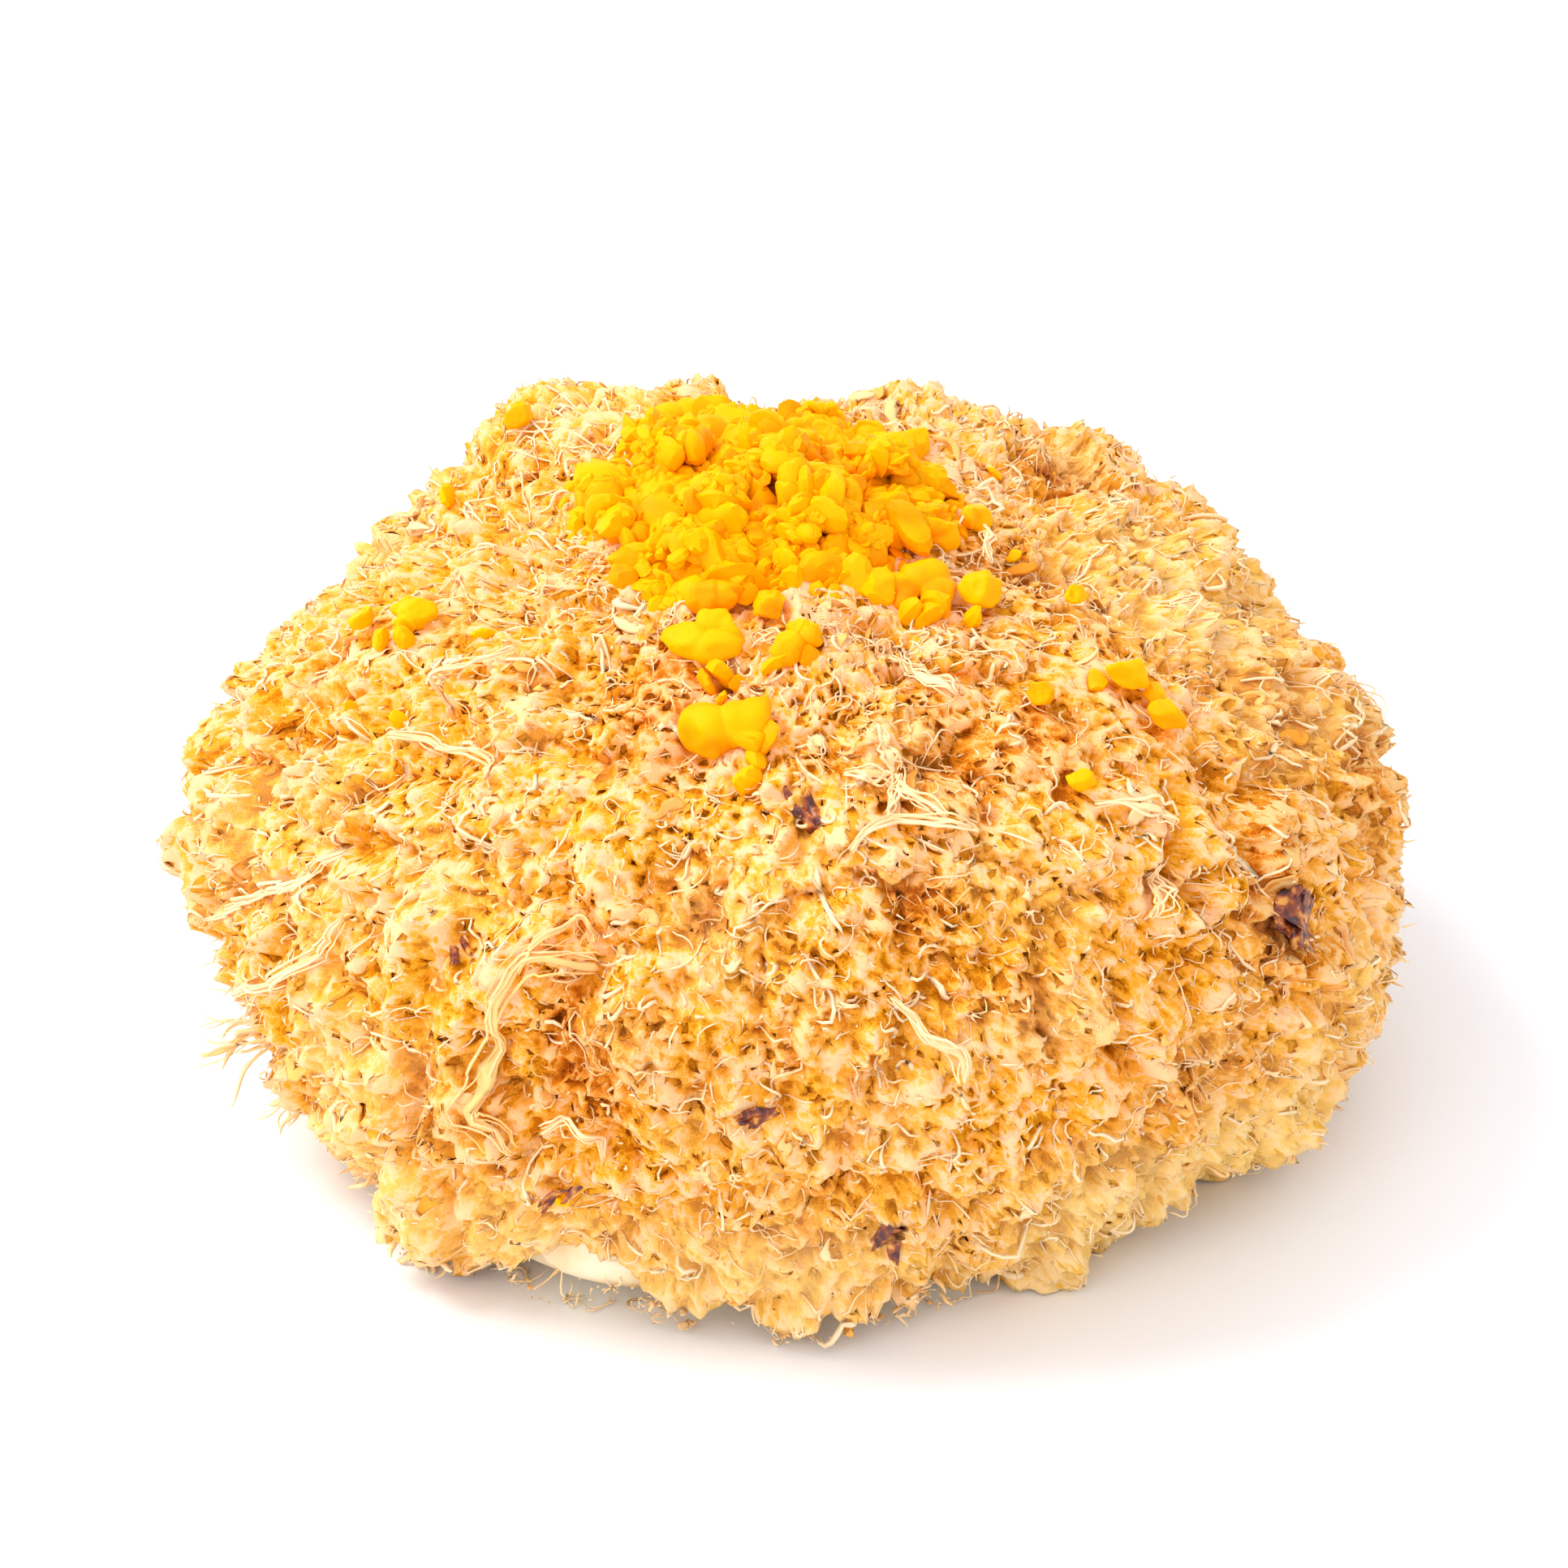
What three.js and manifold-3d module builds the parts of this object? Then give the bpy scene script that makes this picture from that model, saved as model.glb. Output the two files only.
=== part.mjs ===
// A floss bun: a low round bread roll inside a mat of shredded meat floss, with a heap of crumbled
// cured egg yolk on its top. Millimetres, +Z up, the front of the bun towards -Y.
// The origin is on the surface that the bun rests on, under the middle of the bun.
import * as THREE from "three";
import { mergeVertices } from "three/addons/utils/BufferGeometryUtils.js";
import Module from "manifold-3d";

// Driving dimensions of the coated bun.
const HALF_WIDTH = 48; // plain radius at the widest level, before the swellings
const WIDEST_LEVEL = 23; // height of the widest level above the table
const CROWN_RISE = 25; // from the widest level up to the top
const UNDERSIDE_DROP = 38; // semi-axis of the ellipse that the side follows below the widest level
const COAT_THICK_TOP = 5.2; // floss on the crown
const COAT_THICK_RIM = 2.4; // floss at the lower edge
const GAP = 0.3; // between pieces that touch
const RIM_HEIGHT = 1.6; // the coat's lower edge above the table
const RIM_WAVE = 0.7; // how far that edge wanders up and down
const BARE_DOUGH = { bearing: 256, width: 9, rise: 2.4 }; // where that edge has come away
const RIPPLE = 0.55; // height of the slow ripple all over the coat
const LOWEST_SLOPE = -36; // degrees, the last ring of the bun's side

// The lattice of the two round solids.
const COLUMNS = 60;
const COAT_ROWS = 22;
const BUN_ROWS = 16;

// The heap of yolk on the crown.
const HEAP_CENTRE = new THREE.Vector2(-2, 2.5);
const HEAP_LAYERS = [
  { count: 27, radius: 16, lift: 0, firstSeed: 11 },
  { count: 8, radius: 8.5, lift: 3, firstSeed: 71 },
];
const HEAP_CRUMB = 5.8; // width of a crumb in the middle of the heap
const HEAP_CRUMB_TAPER = 1.2; // how much narrower one is at its edge
const GOLDEN_ANGLE = Math.PI * (3 - Math.sqrt(5));

// The broken, waxy shape of a crumb, as shares of its half size.
const LUMP_COUNT = 5;
const LUMP_RISE = 0.055;
const LUMP_PACE = 7; // how fast the lumps follow each other round the crumb
const FLAT_COUNT = 4;
const FLAT_DEPTH = 0.72; // the nearest that a broken flat comes to the middle
const FLAT_SPREAD = 0.2;
const FINE_CRUMB = 6.4; // a crumb wider than this gets a finer ball
const FAR_APART = 12; // crumbs further apart than this can't touch

const COLOURS = {
  dough: { color: 0xf3e2bd, roughness: 0.7, metalness: 0 },
  floss: { color: 0xf2cf8c, roughness: 0.85, metalness: 0 },
  yolk: { color: 0xffb90a, roughness: 0.38, metalness: 0 },
  toasted: { color: 0x6b2413, roughness: 0.3, metalness: 0 },
};

// Swellings and hollows of the coated bun. Bearing goes round the upright axis from +X, so the back
// is at 90 and the front at 270 degrees. Slope is degrees above the widest level. Rise is in
// millimetres, negative for a hollow, and spread is the angle at which it has fallen to 0.6 of it.
const SWELLINGS = [
  { bearing: 131, slope: 39, rise: 6.0, spread: 12 },
  { bearing: 100, slope: 42, rise: 2.0, spread: 12 },
  { bearing: 76, slope: 42, rise: 3.4, spread: 9 },
  { bearing: 93, slope: 42, rise: -1.6, spread: 5 },
  { bearing: 52, slope: 36, rise: 3.0, spread: 11 },
  { bearing: 34, slope: 33, rise: -2.8, spread: 6 },
  { bearing: 24, slope: 26, rise: 2.0, spread: 8 },
  { bearing: 12, slope: 18, rise: -3.0, spread: 9 },
  { bearing: 352, slope: 4, rise: 1.4, spread: 14 },
  { bearing: 178, slope: 10, rise: 2.0, spread: 12 },
  { bearing: 162, slope: 24, rise: -2.4, spread: 9 },
  { bearing: 192, slope: -8, rise: 1.6, spread: 13 },
  { bearing: 205, slope: 32, rise: 1.6, spread: 14 },
  { bearing: 232, slope: 10, rise: 1.2, spread: 12 },
  { bearing: 228, slope: -20, rise: 2.0, spread: 13 },
  { bearing: 262, slope: 34, rise: -1.6, spread: 9 },
  { bearing: 285, slope: 20, rise: 1.6, spread: 13 },
  { bearing: 318, slope: 30, rise: 1.4, spread: 12 },
  { bearing: 283, slope: -26, rise: 1.8, spread: 14 },
  { bearing: 315, slope: -24, rise: -1.6, spread: 10 },
  { bearing: 343, slope: -20, rise: 3.4, spread: 11 },
];

// Single crumbs that have rolled off the heap: across, along and tall in millimetres.
const LOOSE_CRUMBS = [
  { bearing: 119, slope: 51, across: 6.2, along: 3.4, tall: 2.2 },
  { bearing: 141, slope: 40, across: 3.2, along: 2.6, tall: 2.2 },
  { bearing: 195, slope: 33, across: 4.2, along: 3.8, tall: 3.0 },
  { bearing: 191, slope: 29, across: 2.6, along: 2.6, tall: 2.2 },
  { bearing: 237, slope: 62, across: 4.6, along: 4.2, tall: 3.4 },
  { bearing: 243, slope: 53, across: 7.4, along: 6.0, tall: 3.6 },
  { bearing: 256, slope: 36, across: 9.2, along: 7.0, tall: 4.8 },
  { bearing: 269, slope: 53, across: 4.4, along: 4.2, tall: 3.2 },
  { bearing: 247, slope: 27, across: 2.6, along: 2.4, tall: 1.9 },
  { bearing: 313, slope: 62, across: 7.2, along: 5.8, tall: 4.0 },
  { bearing: 323, slope: 54, across: 3.8, along: 3.6, tall: 2.8 },
  { bearing: 337, slope: 45, across: 2.3, along: 2.0, tall: 1.7 },
  { bearing: 309, slope: 37, across: 3.4, along: 3.0, tall: 2.2 },
  { bearing: 323, slope: 34, across: 4.2, along: 4.4, tall: 3.0 },
  { bearing: 322, slope: 29, across: 3.6, along: 3.0, tall: 2.5 },
  { bearing: 305, slope: 27, across: 2.1, along: 2.8, tall: 1.8 },
];

// Dark toasted flakes in the floss: length, width and thickness in millimetres.
const TOASTED_FLAKES = [
  { bearing: 324, slope: 6, length: 3.8, width: 2.2, thick: 0.9, turn: 20 },
  { bearing: 271, slope: 27, length: 3.4, width: 2.0, thick: 0.9, turn: 60 },
  { bearing: 279, slope: -14, length: 2.8, width: 1.4, thick: 0.7, turn: 100 },
  { bearing: 266, slope: 0, length: 2.2, width: 1.0, thick: 0.6, turn: 0 },
  { bearing: 235, slope: 10, length: 1.8, width: 1.4, thick: 0.6, turn: 40 },
  { bearing: 247, slope: -11, length: 1.8, width: 1.0, thick: 0.6, turn: 80 },
];

const FLAKE_GAP = 0.4; // under a flake's middle
const FLAKE_CURL = 0.22; // rise of the ends as a share of the length
const FLAKE_TAPER = 0.35;

const { degToRad, radToDeg } = THREE.MathUtils;
const CENTRE = new THREE.Vector3(0, 0, WIDEST_LEVEL);
const UP = new THREE.Vector3(0, 0, 1);

// Repeatable random numbers from 0 to 1, a fresh run of them for each seed.
function randomFrom(seed) {
  let state = seed * 2654435761;
  return () => {
    state = (state + 0x6d2b79f5) | 0;
    let mixed = Math.imul(state ^ (state >>> 15), 1 | state);
    mixed = (mixed + Math.imul(mixed ^ (mixed >>> 7), 61 | mixed)) ^ mixed;
    return ((mixed ^ (mixed >>> 14)) >>> 0) / 4294967296;
  };
}

// The unit vector of a bearing and a slope, both in degrees.
function direction(bearing, slope) {
  const flat = Math.cos(degToRad(slope));
  return new THREE.Vector3(
    flat * Math.cos(degToRad(bearing)),
    flat * Math.sin(degToRad(bearing)),
    Math.sin(degToRad(slope)),
  );
}

const swellings = SWELLINGS.map(({ bearing, slope, rise, spread }) => ({
  towards: direction(bearing, slope),
  rise,
  spread: degToRad(spread),
}));

// Distance from the centre to the outside of the coat along a unit vector: an ellipse in the upright
// plane, plus the swellings, plus a slow ripple like that of dough under a thick soft coat.
function coatRadius(towards) {
  const flat = Math.hypot(towards.x, towards.y);
  const semiAxis = towards.z > 0 ? CROWN_RISE : UNDERSIDE_DROP;
  let radius = 1 / Math.hypot(flat / HALF_WIDTH, towards.z / semiAxis);
  for (const swelling of swellings) {
    const angle = towards.angleTo(swelling.towards);
    radius += swelling.rise * Math.exp((-angle * angle) / (2 * swelling.spread ** 2));
  }
  const { x, y, z } = towards;
  const broad = Math.sin(9 * x + 4 * z + 1) * Math.sin(8 * y - 5 * z);
  const narrow = 0.6 * Math.sin(15 * x - 11 * y + 9 * z);
  return radius + RIPPLE * (broad + narrow);
}

// The floss is thickest on the crown and thins out towards its lower edge.
function bunRadius(towards) {
  const share = THREE.MathUtils.smoothstep(towards.z, -0.5, 0.35);
  return coatRadius(towards) - THREE.MathUtils.lerp(COAT_THICK_RIM, COAT_THICK_TOP, share);
}

// Height of the coat's lower edge above the table at a unit vector's bearing.
function rimHeight(towards) {
  const bearing = Math.atan2(towards.y, towards.x);
  const toBare = towards.angleTo(direction(BARE_DOUGH.bearing, radToDeg(Math.asin(towards.z))));
  const bare = Math.exp(-((toBare / degToRad(BARE_DOUGH.width)) ** 2));
  return RIM_HEIGHT + RIM_WAVE * Math.sin(5 * bearing) * Math.cos(3 * bearing + 1) + BARE_DOUGH.rise * bare;
}

// A geometry with only positions and shared vertices, as the boolean library needs.
function bareGeometry(geometry) {
  geometry.deleteAttribute("normal");
  geometry.deleteAttribute("uv");
  return mergeVertices(geometry, 1e-4);
}

// A closed round solid about CENTRE: a sphere whose rings are respaced from the top down to
// LOWEST_SLOPE, whose points are set at radiusAt and held above a floor, and whose base is flat.
function roundSolid(rows, radiusAt, floorAt) {
  const geometry = bareGeometry(new THREE.SphereGeometry(1, COLUMNS, rows).rotateX(Math.PI / 2));
  const points = geometry.getAttribute("position");
  const towards = new THREE.Vector3();
  for (let i = 0; i < points.count; i++) {
    towards.fromBufferAttribute(points, i).normalize();
    const bearing = radToDeg(Math.atan2(towards.y, towards.x));
    const ring = Math.round(((90 - radToDeg(Math.asin(towards.z))) / 180) * rows);
    if (ring === rows) {
      points.setXYZ(i, 0, 0, floorAt(towards));
      continue;
    }
    const slope = 90 - (ring / (rows - 1)) * (90 - LOWEST_SLOPE);
    towards.copy(direction(ring === 0 ? 0 : bearing, slope));
    let radius = radiusAt(towards);
    const floor = floorAt(towards) - WIDEST_LEVEL;
    if (towards.z < 0) radius = Math.min(radius, floor / towards.z);
    points.setXYZ(i, ...towards.multiplyScalar(radius).add(CENTRE));
  }
  return geometry;
}

const wasm = await Module();
wasm.setup();

function toManifold(geometry) {
  const vertProperties = geometry.getAttribute("position").array;
  const triVerts = new Uint32Array(geometry.index.array);
  return new wasm.Manifold(new wasm.Mesh({ numProp: 3, vertProperties, triVerts }));
}

function toGeometry(manifold) {
  const { numProp, vertProperties, triVerts } = manifold.getMesh();
  const interleaved = new THREE.InterleavedBuffer(vertProperties, numProp);
  const geometry = new THREE.BufferGeometry();
  geometry.setAttribute("position", new THREE.InterleavedBufferAttribute(interleaved, 3, 0));
  geometry.setIndex(new THREE.BufferAttribute(triVerts, 1));
  const plain = geometry.toNonIndexed();
  return mergeVertices(plain, 1e-4);
}

// The bun: its side curls in below the widest level, down to the flat base that it rests on.
function bunGeometry() {
  return roundSolid(BUN_ROWS, bunRadius, () => 0);
}

// The coat: the outer round solid less the room that the bun takes, so it is open underneath.
function coatGeometry() {
  const outer = roundSolid(COAT_ROWS, coatRadius, rimHeight);
  const room = roundSolid(
    BUN_ROWS,
    (towards) => bunRadius(towards) + GAP,
    () => -2,
  );
  return toGeometry(toManifold(outer).subtract(toManifold(room)));
}

// The point on the coat's outside at a bearing and slope, and the outward normal there.
function footing(bearing, slope) {
  const pointAt = (b, s) => {
    const towards = direction(b, s);
    return towards.clone().multiplyScalar(coatRadius(towards)).add(CENTRE);
  };
  const step = 2;
  const foot = pointAt(bearing, slope);
  const round = pointAt(bearing + step, slope).sub(pointAt(bearing - step, slope));
  const up = pointAt(bearing, slope + step).sub(pointAt(bearing, slope - step));
  return { foot, normal: round.cross(up).normalize() };
}

// How far the coat rises above its tangent plane at a foot, within a reach of that foot.
function bulge(foot, normal, reach) {
  const side = new THREE.Vector3().crossVectors(UP, normal).normalize().multiplyScalar(reach);
  let highest = 0;
  for (let turn = 0; turn < 360; turn += 30) {
    const spot = foot.clone().add(side.clone().applyAxisAngle(normal, degToRad(turn)));
    const towards = spot.sub(CENTRE).normalize();
    const onCoat = towards.clone().multiplyScalar(coatRadius(towards)).add(CENTRE);
    highest = Math.max(highest, onCoat.sub(foot).dot(normal));
  }
  return highest;
}

// The bearing and slope of the point of the coat above a spot on the table.
function overSpot(x, y) {
  let slope = 60;
  const bearing = radToDeg(Math.atan2(y, x));
  for (let pass = 0; pass < 30; pass++) {
    const towards = direction(bearing, slope);
    const reach = coatRadius(towards) * Math.cos(degToRad(slope));
    slope += (reach - Math.hypot(x, y)) * 0.8;
    slope = Math.min(slope, 89.9);
  }
  return { bearing, slope };
}

// A crumb before it is shaped: where its middle is, how large it is and how it lies. About a tenth
// of its height is sunk, because a plane just above the coat cuts its underside flat.
function crumbAt({ bearing, slope, across, along, tall, lift = 0 }, seed) {
  const { foot, normal } = footing(bearing, slope);
  const random = randomFrom(seed);
  const reach = (across + along) / 4;
  const clear = GAP + bulge(foot, normal, reach);
  const height = clear + lift + 0.4 * tall;
  const middle = foot.addScaledVector(normal, height);
  const spin = new THREE.Quaternion().setFromAxisAngle(UP, random() * Math.PI);
  const lie = new THREE.Quaternion().setFromUnitVectors(UP, normal).multiply(spin);
  const half = new THREE.Vector3(across / 2, along / 2, tall / 2);
  const under = { normal: normal.negate(), depth: height - clear };
  return { middle, lie, half, under, random, reach };
}

// The layers of the heap, each laid out on a sunflower spiral, the outer crumbs smaller.
function heapCrumbs() {
  return HEAP_LAYERS.flatMap(({ count, radius, lift, firstSeed }) =>
    Array.from({ length: count }, (_, i) => {
      const random = randomFrom(firstSeed + i);
      const share = Math.sqrt((i + 0.5) / count);
      const angle = (i + firstSeed) * GOLDEN_ANGLE;
      const x = HEAP_CENTRE.x + radius * share * Math.cos(angle) + random() - 0.5;
      const y = HEAP_CENTRE.y + radius * share * Math.sin(angle) + random() - 0.5;
      const across = HEAP_CRUMB - HEAP_CRUMB_TAPER * share + 1.4 * random();
      const along = across * (0.75 + 0.3 * random());
      const tall = across * (0.62 + 0.2 * random());
      return { ...overSpot(x, y), across, along, tall, lift };
    }),
  );
}

// How far a unit vector may go before it meets one of the walls, which are planes given by a normal
// and a depth from the middle; at most the length given.
function heldBack(towards, length, walls) {
  let reach = length;
  for (const { normal, depth } of walls) {
    const facing = towards.dot(normal);
    if (facing * reach > depth) reach = depth / facing;
  }
  return reach;
}

// A crumb's surface: a ball with soft lumps and broken flats, stretched to its size, then held back
// from the coat below it and from the half-way plane to each neighbour, so pieces never overlap.
function crumbGeometry(crumb, crumbs) {
  const { random, middle, lie, half, under, reach } = crumb;
  const geometry = bareGeometry(new THREE.IcosahedronGeometry(1, 2 * reach > FINE_CRUMB ? 2 : 1));
  const points = geometry.getAttribute("position");
  const lumps = Array.from({ length: LUMP_COUNT }, () => ({
    along: new THREE.Vector3(random() - 0.5, random() - 0.5, random() - 0.5).multiplyScalar(LUMP_PACE),
    phase: random() * 2 * Math.PI,
  }));
  const flats = Array.from({ length: FLAT_COUNT }, () => ({
    normal: direction(random() * 360, random() * 120 - 30),
    depth: FLAT_DEPTH + FLAT_SPREAD * random(),
  }));
  const walls = [under];
  for (const other of crumbs) {
    const between = other.middle.clone().sub(middle);
    const apart = between.length();
    if (other === crumb || apart > FAR_APART) continue;
    walls.push({ normal: between.normalize(), depth: (apart * reach) / (reach + other.reach) - GAP / 2 });
  }
  const towards = new THREE.Vector3();
  for (let i = 0; i < points.count; i++) {
    towards.fromBufferAttribute(points, i).normalize();
    let radius = 1;
    for (const lump of lumps) radius += LUMP_RISE * Math.sin(lump.along.dot(towards) + lump.phase);
    towards.multiplyScalar(heldBack(towards, radius, flats)).multiply(half).applyQuaternion(lie);
    const length = towards.length();
    towards.normalize();
    points.setXYZ(i, ...towards.multiplyScalar(heldBack(towards, length, walls)).add(middle));
  }
  return geometry;
}

// A toasted flake: a flattened chip, narrower at one end, that curls up at both, lying on the coat.
function flakeGeometry({ bearing, slope, length, width, thick, turn }) {
  const { foot, normal } = footing(bearing, slope);
  const geometry = bareGeometry(new THREE.IcosahedronGeometry(1, 1));
  const points = geometry.getAttribute("position");
  const spin = new THREE.Quaternion().setFromAxisAngle(UP, degToRad(turn));
  const lie = new THREE.Quaternion().setFromUnitVectors(UP, normal).multiply(spin);
  const middle = foot.addScaledVector(normal, thick / 2 + FLAKE_GAP);
  const offset = new THREE.Vector3();
  for (let i = 0; i < points.count; i++) {
    offset.fromBufferAttribute(points, i);
    const curl = FLAKE_CURL * offset.x * offset.x * length;
    const taper = 1 - FLAKE_TAPER * offset.x;
    offset.multiply(new THREE.Vector3(length, width * taper, thick)).divideScalar(2);
    offset.z += curl;
    points.setXYZ(i, ...offset.applyQuaternion(lie).add(middle));
  }
  return geometry;
}

function named(name, geometry, finish) {
  geometry.computeVertexNormals();
  const mesh = new THREE.Mesh(geometry, new THREE.MeshStandardMaterial(finish));
  mesh.name = name;
  return mesh;
}

function numbered(stem, i) {
  return `${stem}_${String(i + 1).padStart(2, "0")}`;
}

const bread = new THREE.Group();
bread.add(named("bun", bunGeometry(), COLOURS.dough));
bread.add(named("floss_coat", coatGeometry(), COLOURS.floss));

const toppings = new THREE.Group();
const crumbs = [...LOOSE_CRUMBS, ...heapCrumbs()].map((crumb, i) => crumbAt(crumb, i + 1));
crumbs.forEach((crumb, i) => {
  toppings.add(named(numbered("yolk_crumb", i), crumbGeometry(crumb, crumbs), COLOURS.yolk));
});
TOASTED_FLAKES.forEach((flake, i) => {
  toppings.add(named(numbered("toasted_flake", i), flakeGeometry(flake), COLOURS.toasted));
});

// The whole bun is set with the middle of its box over the origin.
const flossBun = new THREE.Group();
flossBun.add(bread, toppings);
const middle = new THREE.Box3().setFromObject(flossBun).getCenter(new THREE.Vector3());
flossBun.position.set(-middle.x, -middle.y, 0);
export default flossBun;
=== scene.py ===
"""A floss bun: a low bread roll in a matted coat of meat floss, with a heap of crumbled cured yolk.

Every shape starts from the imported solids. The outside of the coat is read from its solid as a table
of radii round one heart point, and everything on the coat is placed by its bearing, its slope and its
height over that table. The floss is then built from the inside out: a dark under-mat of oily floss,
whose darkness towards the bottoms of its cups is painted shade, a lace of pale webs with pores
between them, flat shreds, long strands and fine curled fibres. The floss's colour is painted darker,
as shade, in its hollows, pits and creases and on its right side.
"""

import functools

import bmesh
import bpy
import numpy as np
from bpy.props import FloatProperty, FloatVectorProperty, IntProperty, PointerProperty
from bpy.types import Operator, Panel, PropertyGroup
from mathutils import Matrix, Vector


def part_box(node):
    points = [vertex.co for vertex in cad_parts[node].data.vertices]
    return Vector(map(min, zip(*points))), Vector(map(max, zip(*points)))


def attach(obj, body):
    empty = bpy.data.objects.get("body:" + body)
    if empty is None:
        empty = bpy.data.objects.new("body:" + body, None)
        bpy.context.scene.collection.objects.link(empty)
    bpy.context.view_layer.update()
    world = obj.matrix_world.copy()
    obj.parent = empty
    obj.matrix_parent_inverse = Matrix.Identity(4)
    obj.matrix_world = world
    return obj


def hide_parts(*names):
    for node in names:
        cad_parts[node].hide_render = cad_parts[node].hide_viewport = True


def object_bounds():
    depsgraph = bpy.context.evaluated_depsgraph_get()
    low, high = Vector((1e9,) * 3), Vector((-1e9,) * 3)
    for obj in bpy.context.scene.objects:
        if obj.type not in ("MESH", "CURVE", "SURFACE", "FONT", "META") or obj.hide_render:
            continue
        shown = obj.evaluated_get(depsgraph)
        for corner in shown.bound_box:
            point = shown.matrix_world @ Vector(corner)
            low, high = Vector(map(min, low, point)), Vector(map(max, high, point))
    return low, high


bl_info = {
    "name": "Floss Bun",
    "version": (1, 0, 0),
    "blender": (4, 5, 0),
    "location": "3D View > Sidebar > Floss Bun",
    "description": "Builds a bread roll coated in meat floss and topped with crumbled yolk",
    "category": "Add Mesh",
}

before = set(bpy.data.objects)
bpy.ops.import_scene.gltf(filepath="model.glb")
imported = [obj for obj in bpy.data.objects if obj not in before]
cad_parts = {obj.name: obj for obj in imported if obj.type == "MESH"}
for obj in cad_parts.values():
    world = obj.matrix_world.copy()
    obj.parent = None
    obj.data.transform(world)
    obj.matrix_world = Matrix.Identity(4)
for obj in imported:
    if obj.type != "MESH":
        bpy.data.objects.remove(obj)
CAD_BOX = [list(corner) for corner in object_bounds()]
LOW, HIGH = (np.array(corner) for corner in CAD_BOX)
CRUMBS = sorted(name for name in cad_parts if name.startswith("yolk_crumb"))
FLAKES = sorted(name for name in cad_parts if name.startswith("toasted_flake"))

LOOSE_COUNT = 16  # the first crumbs have rolled off the heap, and the others are the heap

MM = 0.001
HEART = np.array([0.0, 0.0, 0.47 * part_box("floss_coat")[1][2]])  # every radius starts here
DEEPEST_SLOPE = -36.0  # degrees: no part of the coat or the bun's side is seen lower than this


# --- Numbers: colour, noise and directions -------------------------------------------------------


def linear(code):
    """A linear colour from an sRGB hex code."""
    srgb = np.array([int(code[i : i + 2], 16) for i in (1, 3, 5)]) / 255
    low = srgb / 12.92
    high = ((srgb + 0.055) / 1.055) ** 2.4
    return tuple(float(c) for c in np.where(srgb <= 0.04045, low, high))


def smooth(low, high, x):
    """Zero below low, one above high, and an S-shaped rise between."""
    t = np.clip((x - low) / (high - low), 0, 1)
    return t * t * (3 - 2 * t)


def unit(vectors):
    return vectors / np.maximum(np.linalg.norm(vectors, axis=-1, keepdims=True), 1e-12)


def direction(bearing, slope):
    """Unit vectors of bearings and slopes in degrees: bearing round the upright axis from +X,
    slope above the level."""
    b, s = np.radians(bearing), np.radians(slope)
    return np.stack([np.cos(s) * np.cos(b), np.cos(s) * np.sin(b), np.sin(s) + 0 * b], -1)


def hashed(lattice, seed):
    """Repeatable numbers from 0 to 1 for whole-number points: their coordinates times large odd
    numbers, added up and scrambled."""
    x, y, z = (lattice[..., i].astype(np.int64) for i in range(3))
    h = (x * 73856093) ^ (y * 19349663) ^ (z * 83492791) ^ (seed * 2654435761)
    h = (h ^ (h >> 13)) & 0x7FFFFFFF
    h = (h * 1274126177) & 0x7FFFFFFF
    h = (h ^ (h >> 15)) & 0x7FFFFFFF
    h = (h * 1103515245 + 12345) & 0x7FFFFFFF
    return ((h >> 7) & 0xFFFFF) / float(0xFFFFF)


def noise(points, size, seed):
    """Soft noise from -1 to 1: a random value at each corner of a lattice of this cell size,
    blended inside the cell with S-shaped weights. Seeds are arbitrary: each use has its own."""
    p = points / size
    cell = np.floor(p)
    t = p - cell
    t = t * t * (3 - 2 * t)
    total = 0.0
    for corner in np.ndindex(2, 2, 2):
        step = np.array(corner)
        weight = np.prod(np.where(step == 1, t, 1 - t), axis=-1)
        total = total + weight * hashed(cell + step, seed)
    return 2 * total - 1


def noise_vector(points, size, seed):
    return np.stack([noise(points, size, seed + k) for k in range(3)], -1)


def cells(points, size, seed):
    """Cell noise: one random seed point in each box of a lattice. Returns the distances to the
    nearest and second nearest seed point, as shares of the cell size, and the nearest one's own
    random number."""
    p = points / size
    home = np.floor(p)
    first = np.full(p.shape[:-1], 9.0)
    second = np.full(p.shape[:-1], 9.0)
    own = np.zeros(p.shape[:-1])
    for offset in np.ndindex(3, 3, 3):
        box = home + np.array(offset) - 1
        spot = np.stack([hashed(box, seed + k) for k in range(3)], -1)
        away = np.sqrt(((box + spot - p) ** 2).sum(-1))
        nearer = away < first
        second = np.where(nearer, first, np.minimum(second, away))
        own = np.where(nearer, hashed(box, seed + 3), own)
        first = np.where(nearer, away, first)
    return first, second, own


# --- The outside of the coat and of the bun ------------------------------------------------------


def node_triangles(name):
    """The corners of a CAD node's triangles, in metres, as an array of (triangle, corner, xyz)."""
    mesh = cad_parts[name].data
    points = np.empty(len(mesh.vertices) * 3)
    mesh.vertices.foreach_get("co", points)
    mesh.calc_loop_triangles()
    corners = np.empty(len(mesh.loop_triangles) * 3, int)
    mesh.loop_triangles.foreach_get("vertices", corners)
    return points.reshape(-1, 3)[corners.reshape(-1, 3)]


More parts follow.
